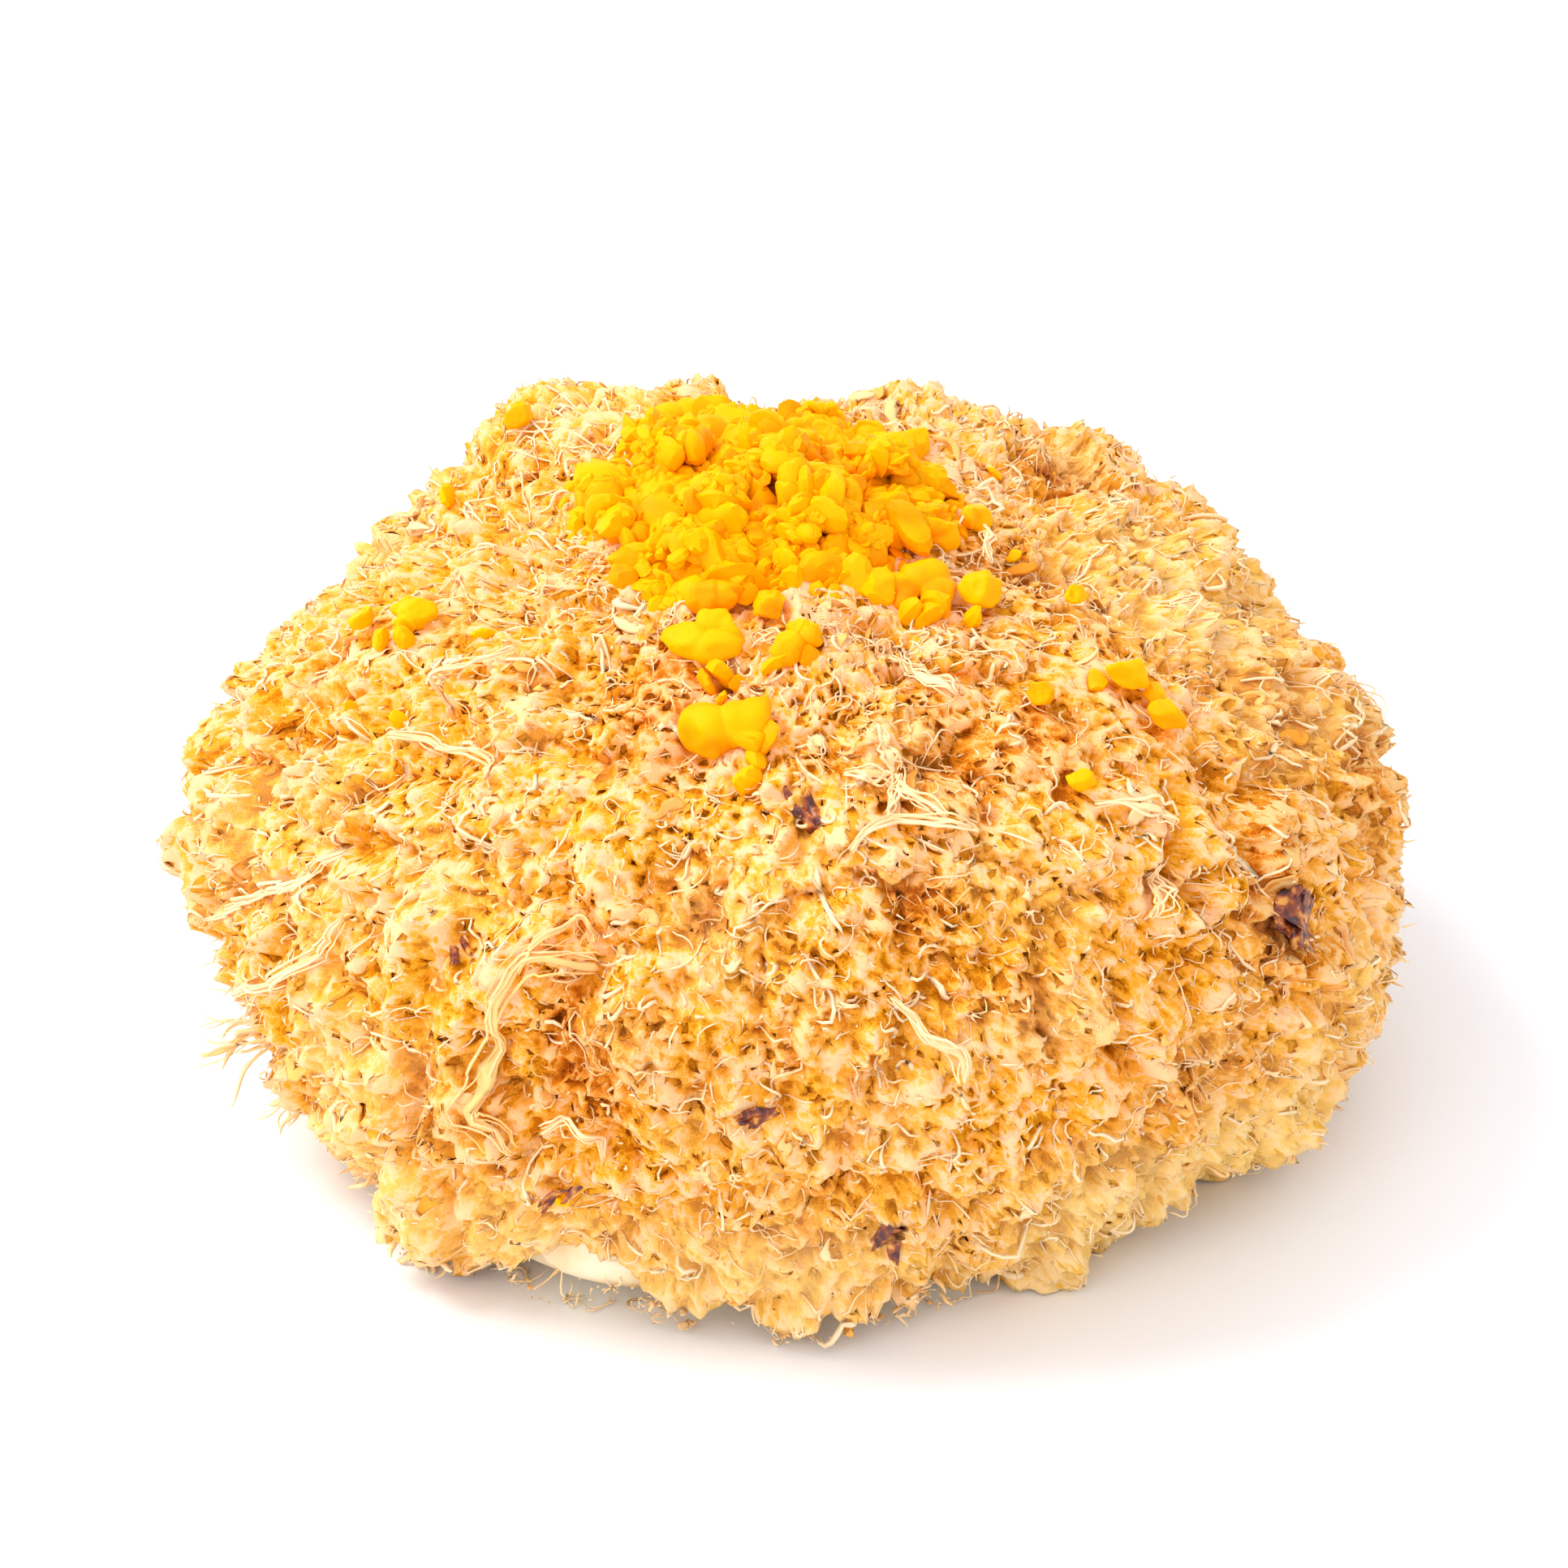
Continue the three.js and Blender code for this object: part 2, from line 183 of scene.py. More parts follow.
def outermost(name, towards, start=HEART):
    """How far rays from a start run before they last leave a CAD node: each ray is met with every
    outward-facing triangle's plane, and counts if it passes inside the triangle."""
    tri = node_triangles(name) - start
    a, ab, ac = tri[:, 0], tri[:, 1] - tri[:, 0], tri[:, 2] - tri[:, 0]
    normal = np.cross(ab, ac)
    outward = (normal * tri.mean(1)).sum(-1) > 0
    a, ab, ac, normal = a[outward], ab[outward], ac[outward], normal[outward]
    rays = towards.reshape(-1, 3)
    far = np.zeros(len(rays))
    for block in np.array_split(np.arange(len(rays)), 24):
        ray = rays[block][:, None]
        facing = (ray * normal).sum(-1)
        reach = (a * normal).sum(-1) / np.where(np.abs(facing) < 1e-15, 1e-15, facing)
        inside = ray * reach[..., None] - a
        area = (normal**2).sum(-1)
        u = (np.cross(inside, ac) * normal).sum(-1) / area
        v = (np.cross(ab, inside) * normal).sum(-1) / area
        hit = (facing > 0) & (u > -1e-4) & (v > -1e-4) & (u + v < 1 + 1e-4)
        far[block] = np.where(hit, reach, 0).max(1)
    return far.reshape(towards.shape[:-1])


def blurred(grid, weights):
    """A grid's values, averaged by these weights over the cells on either side of each, along both
    of its ways. Its columns close on themselves."""
    reach = len(weights) // 2
    wide = np.pad(grid, ((0, 0), (reach, reach)), mode="wrap")
    wide = np.stack([np.convolve(line, weights, "valid") for line in wide])
    tall = np.pad(wide, ((reach, reach), (0, 0)), mode="edge")
    return np.stack([np.convolve(line, weights, "valid") for line in tall.T], 1)


class Skin:
    """A table of radii round HEART, over bearing and slope, read by blending its four nearest. It
    also knows how low the solid reaches at each bearing."""

    COLUMNS, ROWS = 480, 168
    BEARINGS = np.arange(COLUMNS) * 360 / COLUMNS
    SLOPES = np.linspace(90, DEEPEST_SLOPE, ROWS)

    def __init__(self, node):
        coarse_b, coarse_s = self.BEARINGS[::5], self.SLOPES[::3]
        bearing, slope = np.meshgrid(coarse_b, coarse_s)
        radius = outermost(node, direction(bearing, slope))
        self.floor = np.where(radius > 0, radius * np.sin(np.radians(slope)), 9).min(0)
        for row in range(1, len(coarse_s)):  # past its edge, the side is carried straight down
            height = radius[row] * np.sin(np.radians(coarse_s[row]))
            ended = (radius[row] <= 0) | (height < self.floor + 0.2 * MM)
            radius[row] = np.where(ended & (coarse_s[row] < -20), radius[row - 1], radius[row])
        around = np.concatenate([radius, radius[:, :1]], 1)
        wide = np.stack([np.interp(self.BEARINGS, [*coarse_b, 360], line) for line in around])
        self.radius = np.stack([np.interp(-self.SLOPES, -coarse_s, line) for line in wide.T], 1)
        self.floor = np.interp(self.BEARINGS, [*coarse_b, 360], [*self.floor, self.floor[0]])
        weights = np.hanning(9)[1:-1]  # wide enough that the solid's facets don't show
        self.radius = blurred(self.radius, weights / weights.sum())
        self.radius[0] = self.radius[0].mean()

    def at(self, bearing, slope, table=None):
        """Radii at bearings and slopes, in metres, or the values of another table of that shape."""
        table = self.radius if table is None else table
        column = np.mod(bearing, 360) / 360 * self.COLUMNS
        span = 90 - DEEPEST_SLOPE
        row = np.clip((90 - slope) / span * (self.ROWS - 1), 0, self.ROWS - 1.001)
        c, r = np.floor(column).astype(int) % self.COLUMNS, np.floor(row).astype(int)
        u, v = column - np.floor(column), row - r
        c2 = (c + 1) % self.COLUMNS
        top = table[r, c] * (1 - u) + table[r, c2] * u
        low = table[r + 1, c] * (1 - u) + table[r + 1, c2] * u
        return top * (1 - v) + low * v

    def lowest(self, bearing):
        """The slopes, for bearings, at which the outside comes down to the hem."""
        wanted = np.maximum(self.floor + hem_lift(self.BEARINGS), 0.5 * MM - HEART[2])[None]
        height = self.radius * np.sin(np.radians(self.SLOPES))[:, None]
        last = self.SLOPES[np.argmax(height <= wanted, axis=0)]
        last = np.convolve(np.pad(last, 5, mode="wrap"), np.full(11, 1 / 11), "valid")
        return np.interp(np.mod(bearing, 360), [*self.BEARINGS, 360], [*last, last[0]])

    def grid(self):
        """The table's own points, in metres."""
        bearing, slope = np.meshgrid(self.BEARINGS, self.SLOPES)
        return HEART + direction(bearing, slope) * self.radius[..., None]

    def rows(self, high, low, spacing):
        """Slopes from high to low, evenly far apart along the mean outline."""
        slopes = np.linspace(high, low, 400)
        radius = np.interp(-slopes, -self.SLOPES, self.radius.mean(1))
        outline = radius[:, None] * direction(0 * slopes, slopes)[:, ::2]
        steps = np.linalg.norm(np.diff(outline, axis=0), axis=-1)
        run = np.concatenate([[0], np.cumsum(steps)])
        return np.interp(np.linspace(0, run[-1], int(run[-1] / spacing) + 2), run, slopes)


def crumb_boxes():
    """The middles and half sizes of the large crumbs' boxes, in metres."""
    corners = np.array([[list(c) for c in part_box(name)] for name in CRUMBS])
    return corners.mean(1), (corners[:, 1] - corners[:, 0]) / 2


def near_crumbs(points, reach):
    """One beside the middle of a large crumb, falling to zero a few reaches away from them all."""
    clear = np.ones(points.shape[:-1])
    for middle in crumb_boxes()[0]:
        clear = clear * (1 - np.exp(-((points - middle) ** 2).sum(-1) / (2 * reach**2)))
    return 1 - clear


# Broad bulges and hollows of the coat: bearing, slope, radius in mm, height in mm.
SWELLS = [
    (354, -3, 9, -1.6), (20, 6, 5, -1.2), (47, 24, 3.5, 1.3), (60, 36, 3.5, -1.6),
    (78, 37, 4, -1.5), (92, 38, 4, -1.5), (131, 31, 4.5, 2.2), (150, 12, 4, -0.8),
    (178, 8, 5, -1.3), (190, -3, 5, -0.9), (203, -11, 3.5, -1.4), (232, -24, 5, 2.6),
    (262, -26, 5, 2.2), (306, -25, 5, 2.2), (326, -22, 5, 3.0), (249, 33, 2.6, -2.0),
    (243, -3, 3, -1.3), (318, -4, 3, -1.2), (277, 4, 3, -1.4), (296, 12, 2.5, -1.0),
]
# Where the coat's hem hangs lower or is torn away: bearing, width in degrees, height in mm.
HEMS = [
    (232, 5, -1.6), (247.5, 5, 3.2), (262, 6, -1.8), (295, 4, -1.4), (308, 6, -1.6), (324, 6, -1.2),
]


def hem_lift(bearing):
    """How far the hem is raised above the solid's lower edge at bearings, in metres."""
    lift = 0 * bearing
    for middle, width, height in HEMS:
        away = np.mod(bearing - middle + 180, 360) - 180
        lift = lift + height * MM * np.exp(-((away / width) ** 2) / 2)
    return lift


@functools.lru_cache(maxsize=1)
def coat_skin():
    """The level of the coat's ridges. It lies a little inside the solid, bulges in swells, and
    bunches into puffs of three sizes, which are round domes over cell noise with creases between
    them, and which fade out under crumbs."""
    coat = bpy.context.scene.floss_bun.coat
    skin = Skin("floss_coat")
    points = skin.grid()
    swells = patches(points, SWELLS, skin) * MM
    bent = points + 1.8 * MM * noise_vector(points, 5 * MM, 3)
    rise = 0.5 * noise(points, 11 * MM, 7) - 0.55
    for share, part, seed in ((2.0, 1.9, 16), (1.0, 1.0, 8), (0.5, 0.6, 12)):
        near, next_near, own = cells(bent, share * coat.puff_size, seed)
        rise = rise + part * (smooth(0, 0.4, next_near - near) * (0.5 + 0.5 * own) - 0.45)
    rise = coat.puff_rise * rise * (1 - near_crumbs(points, 3.6 * MM))
    skin.radius = skin.radius + rise + swells - coat.inset
    skin.radius[0] = skin.radius[0].mean()
    skin.fold = np.clip(rise / coat.puff_rise, -1.5, 1)
    return skin


def folds(bearing, slope):
    """How high the coat bunches up, from below 0 in creases between puffs to 1 on their tops."""
    return coat_skin().at(bearing, slope, coat_skin().fold)


def on_coat(bearing, slope, height=0.0):
    """Points over the coat's outside, in metres: out from HEART by the radius and the height."""
    return HEART + direction(bearing, slope) * (coat_skin().at(bearing, slope) + height)[..., None]


def bearings_of(points):
    """The bearings and slopes of points, in degrees."""
    away = unit(points - HEART)
    return np.degrees(np.arctan2(away[..., 1], away[..., 0])), np.degrees(np.arcsin(away[..., 2]))


def over_coat(points, height):
    """The same points moved along their own line from HEART to a height over the coat."""
    return on_coat(*bearings_of(points), height)


def coat_axes(bearing, slope):
    """At bearings and slopes: the foot on the coat, and unit vectors round it, up it and out."""
    step = 1.5
    round_it = unit(on_coat(bearing + step, slope) - on_coat(bearing - step, slope))
    up_it = unit(on_coat(bearing, slope + step) - on_coat(bearing, slope - step))
    out = unit(np.cross(round_it, up_it))
    return on_coat(bearing, slope), round_it, np.cross(out, round_it), out


def patches(points, spots, skin=None):
    """The sum of soft round spots: each is (bearing, slope, radius in mm, strength)."""
    total = np.zeros(points.shape[:-1])
    skin = skin or coat_skin()
    for bearing, slope, radius, strength in spots:
        place = np.array(float(bearing)), np.array(float(slope))
        middle = HEART + direction(*place) * skin.at(*place)
        away = ((points - middle) ** 2).sum(-1)
        total = total + strength * np.exp(-away / (2 * (radius * MM) ** 2))
    return total


# Where the floss is toasted red-brown, and where it is finer, paler and more yellow.
TOASTED_AND_SHADED_SPOTS = [
    # Partly painted shade: the spots at (247, 35), (277, 4), (243, -3) and (318, -4) sit in the
    # hollows of SWELLS and darken them.
    (240, 44, 3.6, 0.9), (247, 35, 3.2, 1.0), (262, 42, 3.0, 0.6), (271, 28, 2.4, 0.6),
    (277, 4, 2.6, 0.5), (243, -3, 3.0, 0.7), (236, 8, 2.4, 0.5), (318, -4, 3.6, 1.0),
    (300, 6, 2.6, 0.5), (335, 40, 2.6, 0.7), (40, 36, 3.5, 0.9), (325, 14, 2.6, 0.5),
    # Painted shade: the broad spots at (335, 12) and (300, 20) darken the right side of the coat.
    (205, 4, 3.0, 0.4), (335, 12, 18.0, 0.3), (300, 20, 9.0, 0.2), (120, 20, 3.5, 0.5),
    (70, 5, 3.0, 0.5),
]
PALE_SPOTS = [
    (325, -18, 8.0, 1.0), (305, -22, 6.0, 0.8), (345, 5, 8.0, 0.5), (10, 25, 9.0, 0.5),
    (225, -18, 7.0, 0.4), (262, -22, 8.0, 0.6), (285, -14, 7.0, 0.3), (90, -5, 14.0, 0.5),
    (150, 10, 10.0, 0.3),
]


def floss_tints(points):
    """How toasted and how pale the floss is at points, each from 0 to 1. The first share also holds
    painted shade, broad on the right side and smaller in some hollows.
    """
    toast_and_shade = patches(points, TOASTED_AND_SHADED_SPOTS) + 0.7 * noise(points, 3.4 * MM, 62) - 0.2
    toast_and_shade = toast_and_shade + 0.95 * noise(points, 9 * MM, 63)
    low = smooth(-10, -22, bearings_of(points)[1])
    pale = patches(points, PALE_SPOTS) + 0.5 * noise(points, 7 * MM, 61) + 0.45 * low
    return np.clip(toast_and_shade - 0.25 * low, 0, 1), np.clip(pale, 0, 1)


# --- Meshes --------------------------------------------------------------------------------------


def new_piece(name, points, faces, material, uv=None, shares=None):
    """Puts arrays into a new mesh object that rides on the part's one body. points are (n, 3),
    faces (m, 3) or (m, 4) whole numbers or a list of such arrays, uv one pair for each corner of
    each face in the same order, and shares named numbers for each point. Points that would lie
    under the table are raised onto it."""
    points = np.column_stack([points[:, :2], np.maximum(points[:, 2], 0)])
    parts = faces if isinstance(faces, list) else [faces]
    mesh = bpy.data.meshes.new(name)
    corners = np.concatenate([part.ravel() for part in parts]).astype(np.int32)
    sizes = np.concatenate([np.full(len(part), part.shape[1]) for part in parts])
    starts = np.concatenate([[0], np.cumsum(sizes)[:-1]]).astype(np.int32)
    mesh.vertices.add(len(points))
    mesh.vertices.foreach_set("co", np.ascontiguousarray(points, dtype=np.float32).ravel())
    mesh.loops.add(len(corners))
    mesh.loops.foreach_set("vertex_index", corners)
    mesh.polygons.add(len(sizes))
    mesh.polygons.foreach_set("loop_start", starts)
    mesh.update(calc_edges=True)
    mesh.shade_smooth()
    for label, values in (shares or {}).items():
        layer = mesh.attributes.new(label, "FLOAT", "POINT")
        layer.data.foreach_set("value", np.ascontiguousarray(values, dtype=np.float32).ravel())
    if uv is not None:
        layer = mesh.uv_layers.new(name="OFBake")
        layer.uv.foreach_set("vector", np.ascontiguousarray(uv, dtype=np.float32).ravel())
    if mesh.validate():
        raise RuntimeError(f"{name} has faces that can't be")
    mesh.materials.append(material)
    piece = bpy.data.objects.new(name, mesh)
    bpy.context.scene.collection.objects.link(piece)
    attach(piece, "root")
    return piece


def weld(piece):
    """Merges points that lie on each other, which closes a pole."""
    work = bmesh.new()
    work.from_mesh(piece.data)
    bmesh.ops.remove_doubles(work, verts=work.verts, dist=1e-7)
    work.to_mesh(piece.data)
    work.free()


def ring_faces(rows, columns):
    """The quads of a grid that closes round its columns: facing out when rows run downwards and
    columns run by bearing."""
    r, c = np.meshgrid(np.arange(rows - 1), np.arange(columns), indexing="ij")
    c2 = (c + 1) % columns
    quads = [r * columns + c, (r + 1) * columns + c, (r + 1) * columns + c2, r * columns + c2]
    return np.stack(quads, -1).reshape(-1, 4)


def ring_uv(rows, columns):
    """A map that lays a closed grid out flat, one pair for each corner of its quads."""
    r, c = np.meshgrid(np.arange(rows - 1), np.arange(columns), indexing="ij")
    across = np.stack([c, c, c + 1, c + 1], -1) / columns
    down = 1 - np.stack([r, r + 1, r + 1, r], -1) / (rows - 1)
    return np.stack([across, down], -1).reshape(-1, 2)


def ball(columns, rows):
    """A unit ball as a grid with a point at each pole: its points, quads and end triangles."""
    bearing, slope = np.meshgrid(
        np.arange(columns) * 360 / columns, np.linspace(90, -90, rows + 1)[1:-1]
    )
    rings = direction(bearing, slope).reshape(-1, 3)
    points = np.concatenate([[[0, 0, 1]], rings, [[0, 0, -1]]])
    c = np.arange(columns)
    c2 = (c + 1) % columns
    top = np.stack([0 * c, 1 + c, 1 + c2], -1)
    base = 1 + (rows - 2) * columns
    bottom = np.stack([0 * c + len(points) - 1, base + c2, base + c], -1)
    return points, 1 + ring_faces(rows - 1, columns), np.concatenate([top, bottom])


def copies(faces, count, per):
    """The faces of one shape repeated for a number of shapes with this many points each."""
    return (faces + (np.arange(count) * per)[:, None, None]).reshape(-1, faces.shape[-1])


def sheet_with_holes(outer, inner, kept):
    """A thick sheet over a grid: outer and inner are (rows, columns, xyz) points, and kept marks
    the cells that stay. Each kept cell has an outer and an inner quad, and a wall wherever the
    cell beside it is gone. Returns points, quads, the map's pairs and each point's own place in
    the flat grid."""
    rows, columns = outer.shape[:2]
    lower = rows * columns
    r, c = np.nonzero(kept)
    first, below = r * columns + c, (r + 1) * columns + c
    top = np.stack([first, below, below + 1, first + 1], -1)
    quads = [top, lower + top[:, ::-1]]
    gone = ~np.pad(kept, 1)
    beside = [gone[1:-1, :-2], gone[2:, 1:-1], gone[1:-1, 2:], gone[:-2, 1:-1]]
    for side, missing in enumerate(beside):
        edge = missing[r, c]
        a, b = top[edge, side], top[edge, (side + 1) % 4]
        quads.append(np.stack([b, a, lower + a, lower + b], -1))
    quads = np.concatenate(quads)
    used, flat = np.unique(quads, return_inverse=True)
    where = used % lower
    under = used >= lower
    place = np.stack([(where % columns) / (columns - 1), 1 - (where // columns) / (rows - 1)], -1)
    place[:, 1] = 0.5 * place[:, 1] + np.where(under, 0.0, 0.5)
    points = np.concatenate([outer.reshape(-1, 3), inner.reshape(-1, 3)])[used]
    return points, flat.reshape(-1, 4), place[flat.ravel()], where


def sweep(paths, half_width, half_thick, sides, reference):
    """Many tubes at once. paths is (n, k, 3), and half_width and half_thick are (n, k). Each
    tube's section is an ellipse of few sides across the path, its width level with the surface
    whose outward vectors are reference, and its first and last points are closed tips. Returns
    points, faces, the map's pairs (each tube has a cell of its own) and the points per tube."""
    n, k, _ = paths.shape
    along = unit(np.gradient(paths, axis=1))
    side = unit(np.cross(along, reference))
    up = np.cross(side, along)
    turn = np.arange(sides) * 2 * np.pi / sides
    across = side[:, 1:-1, None] * (half_width[:, 1:-1, None] * np.cos(turn))[..., None]
    above = up[:, 1:-1, None] * (half_thick[:, 1:-1, None] * np.sin(turn))[..., None]
    rings = (paths[:, 1:-1, None] + across + above).reshape(n, -1, 3)
    points = np.concatenate([paths[:, :1], rings, paths[:, -1:]], 1)
    per = points.shape[1]
    r, c = np.meshgrid(np.arange(k - 3), np.arange(sides), indexing="ij")
    quad_r = np.stack([r, r, r + 1, r + 1], -1).reshape(-1, 4)
    quad_c = np.stack([c, c + 1, c + 1, c], -1).reshape(-1, 4)
    s = np.arange(sides)
    tip_r = np.repeat([[-1, 0, 0], [k - 2, k - 3, k - 3]], sides, axis=0)
    tip_c = np.concatenate([np.stack([s, s + 1, s], -1), np.stack([s, s, s + 1], -1)])
    faces, pairs = [], []
    size = int(np.ceil(np.sqrt(n)))
    cell = np.stack([np.arange(n) % size, np.arange(n) // size], -1)[:, None, None]
    for row, column in ((quad_r, quad_c), (tip_r, tip_c)):
        index = 1 + row * sides + column % sides
        index = np.where(row < 0, 0, np.where(row > k - 3, per - 1, index))
        faces.append(copies(index, n, per))
        spot = np.stack([(row + 1) / (k - 1), column / sides], -1)[None]
        pairs.append(((cell + 0.1 + 0.8 * spot) / size).reshape(-1, 2))
    return points.reshape(-1, 3), faces, np.concatenate(pairs), per


# --- Materials -----------------------------------------------------------------------------------


def add(tree, kind, inputs=None, stops=(), **settings):
    """Adds a node with its settings. inputs maps an input's name or number to the output socket
    that feeds it, or to the value that it holds, and stops are a colour ramp's places and linear
    colours."""
    node = tree.nodes.new("ShaderNode" + kind)
    for key, value in settings.items():
        setattr(node, key, value)
    for key, value in (inputs or {}).items():
        if isinstance(value, bpy.types.NodeSocket):
            tree.links.new(value, node.inputs[key])
        else:
            node.inputs[key].default_value = value
    for place, _ in stops[1:-1]:
        node.color_ramp.elements.new(place)
    if stops:
        for element, (place, colour) in zip(node.color_ramp.elements, stops, strict=True):
            element.position = place
            element.color = (*colour, 1)
    return node


def new_material(name, **settings):
    """A new material with one Principled shader and these values in its sockets. Returns the
    material, its node tree, its shader and an output with Object coordinates."""
    material = bpy.data.materials.new(name)
    material.use_nodes = True
    tree = material.node_tree
    shader = tree.nodes["Principled BSDF"]
    for key, value in settings.items():
        shader.inputs[key.replace("_", " ")].default_value = value
    return material, tree, shader, add(tree, "TexCoord").outputs["Object"]


def paint(tree, shader, colour, relief=None, strength=0.3, depth=0.1 * MM):
    """Feeds a colour into a shader, and a relief as bumps of this strength and depth."""
    tree.links.new(colour, shader.inputs["Base Color"])
    if relief:
        held = {"Height": relief, "Strength": strength, "Distance": depth}
        tree.links.new(add(tree, "Bump", held).outputs["Normal"], shader.inputs["Normal"])


def floss_material(name, stops, toast_and_shade_stops, pale_tint):
    """Meat floss: pork that is stewed, shredded and dried in a pan, so oily gold fibres with pale,
    dry tips. Colour follows the share called ridge from pits to tips. That is partly the floss's own
    amber low down and cream on top, and partly painted shade in hollows and creases, with painted
    light on the tops of puffs. It turns red-brown where it is toasted and where shade is painted on
    the right side and in some hollows, and lighter where it is pale. Cell patterns of two sizes sink
    amber pits into it, which are partly painted shade, and leave cream ridges between them."""
    finish = {"Roughness": 0.8, "IOR": 1.45, "Specular_IOR_Level": 0.03}
    material, tree, shader, place = new_material(name, **finish)
    bend = add(tree, "TexNoise", {"Vector": place, "Scale": 1 / (0.8 * MM), "Detail": 3.0})
    held = {0: bend.outputs["Color"], 1: (0.6 * MM, 0.6 * MM, 0.6 * MM), 2: place}
    bent = add(tree, "VectorMath", held, operation="MULTIPLY_ADD").outputs[0]
    level = add(tree, "Attribute", attribute_name="ridge").outputs["Fac"]
    relief = bend.outputs["Fac"]
    marks = []  # each mark, how high it lifts the level, and if it lifts the relief as well
    # Partly painted shade: where the pits' bumps sink, their low level gives them the ramp's darker
    # amber.
    for size, depth in ((0.9 * MM, 0.4), (0.5 * MM, 0.2)):
        pits = add(tree, "TexVoronoi", {"Vector": bent, "Scale": 1 / size})
        marks.append((pits.outputs["Distance"], depth, True))
    for size, thin, height in ((1.1 * MM, 0.08, 0.3), (0.7 * MM, 0.09, 0.25)):
        held = {"Vector": bent, "Scale": 1 / size}
        edges = add(tree, "TexVoronoi", held, feature="DISTANCE_TO_EDGE")
        held = {0: edges.outputs["Distance"], 1: 0.0, 2: thin, 3: 1.0, 4: 0.0}
        thread = add(tree, "MapRange", held, interpolation_type="SMOOTHSTEP")
        marks.append((thread.outputs["Result"], height, True))
    for size, height in ((2.8 * MM, 0.9), (7.0 * MM, 0.9)):
        cloud = add(tree, "TexNoise", {"Vector": place, "Scale": 1 / size, "Detail": 3.0})
        marks.append((cloud.outputs["Fac"], height, False))
    for mark, height, raised in marks:
        held = {0: mark, 1: height}
        level = add(tree, "Math", {**held, 2: level}, operation="MULTIPLY_ADD").outputs[0]
        if raised:
            relief = add(tree, "Math", {**held, 2: relief}, operation="MULTIPLY_ADD").outputs[0]
    usual = 1.16  # about what the marks add up to
    level = add(tree, "Math", {0: level, 1: usual}, operation="SUBTRACT").outputs[0]
    plain = add(tree, "ValToRGB", {"Fac": level}, stops).outputs["Color"]
    # This ramp serves the toast share, which also holds painted shade.
    toasted = add(tree, "ValToRGB", {"Fac": level}, toast_and_shade_stops).outputs["Color"]
    # A Mix node's colours go into its inputs 6 and 7, and come out of its output 2.
    toast_and_shade = add(tree, "Attribute", attribute_name="toast_and_shade").outputs["Fac"]
    colour = add(tree, "Mix", {0: toast_and_shade, 6: plain, 7: toasted}, data_type="RGBA").outputs[2]
    light = add(tree, "Mix", {0: 0.5, 6: colour, 7: (*pale_tint, 1)}, data_type="RGBA").outputs[2]
    pale = add(tree, "Attribute", attribute_name="pale").outputs["Fac"]
    colour = add(tree, "Mix", {0: pale, 6: colour, 7: light}, data_type="RGBA").outputs[2]
    paint(tree, shader, colour, relief, 0.3, 0.25 * MM)
    return material


@functools.lru_cache(maxsize=1)
def web_material():
    """Dried webs of floss, from amber low down to cream on the ridges: partly their own colour,
    partly painted shade low down and painted light on the ridges.
    """
    look = bpy.context.scene.floss_bun.coat
    stops = [
        (0.0, linear("#C8780C")),
        (0.25, tuple(look.amber)),
        (0.5, tuple(look.gold)),
        (0.75, tuple(look.cream)),
        (1.0, tuple(look.tip)),
    ]
    # For toast, and for the painted shade that the toast share also holds.
    toasted = [
        (0.0, linear("#AC520E")),
        (0.35, linear("#D27014")),
        (0.7, linear("#E8983C")),
        (1.0, linear("#F0BC78")),
    ]
    return floss_material("dried_floss_webs", stops, toasted, linear("#F0D890"))


@functools.lru_cache(maxsize=1)
def mat_material():
    """Oily floss in the depth of the coat: amber, with brown hollows that are painted shade at the
    bottoms of its cups.
    """
    look = bpy.context.scene.floss_bun.coat
    stops = [
        (0.0, linear("#B0680E")),
        (0.3, linear("#D88410")),
        (0.6, tuple(look.amber)),
        (1.0, tuple(look.gold)),
    ]
    # For toast, and for the painted shade that the toast share also holds.
    toasted = [(0.0, linear("#80300A")), (0.5, linear("#B4540E")), (1.0, linear("#D88430"))]
    return floss_material("oily_floss_and_painted_shade", stops, toasted, linear("#E8C060"))


@functools.lru_cache(maxsize=1)
def fibre_material():
    """Single dried fibres: each has a tone of its own, mostly cream, some golden, few brown."""
    look = bpy.context.scene.floss_bun.fibres
    finish = {"Roughness": 0.6, "IOR": 1.45, "Specular_IOR_Level": 0.1}
    material, tree, shader, _ = new_material("dried_fibres", **finish)
    tone = add(tree, "Attribute", attribute_name="tone").outputs["Fac"]
    stops = [
        (0.0, linear("#A8560E")),
        (0.1, linear("#E8962A")),
        (0.3, linear("#FCC068")),
        (0.6, linear("#FED49A")),
        (1.0, tuple(look.tip)),
    ]
    paint(tree, shader, add(tree, "ValToRGB", {"Fac": tone}, stops).outputs["Color"])
    return material


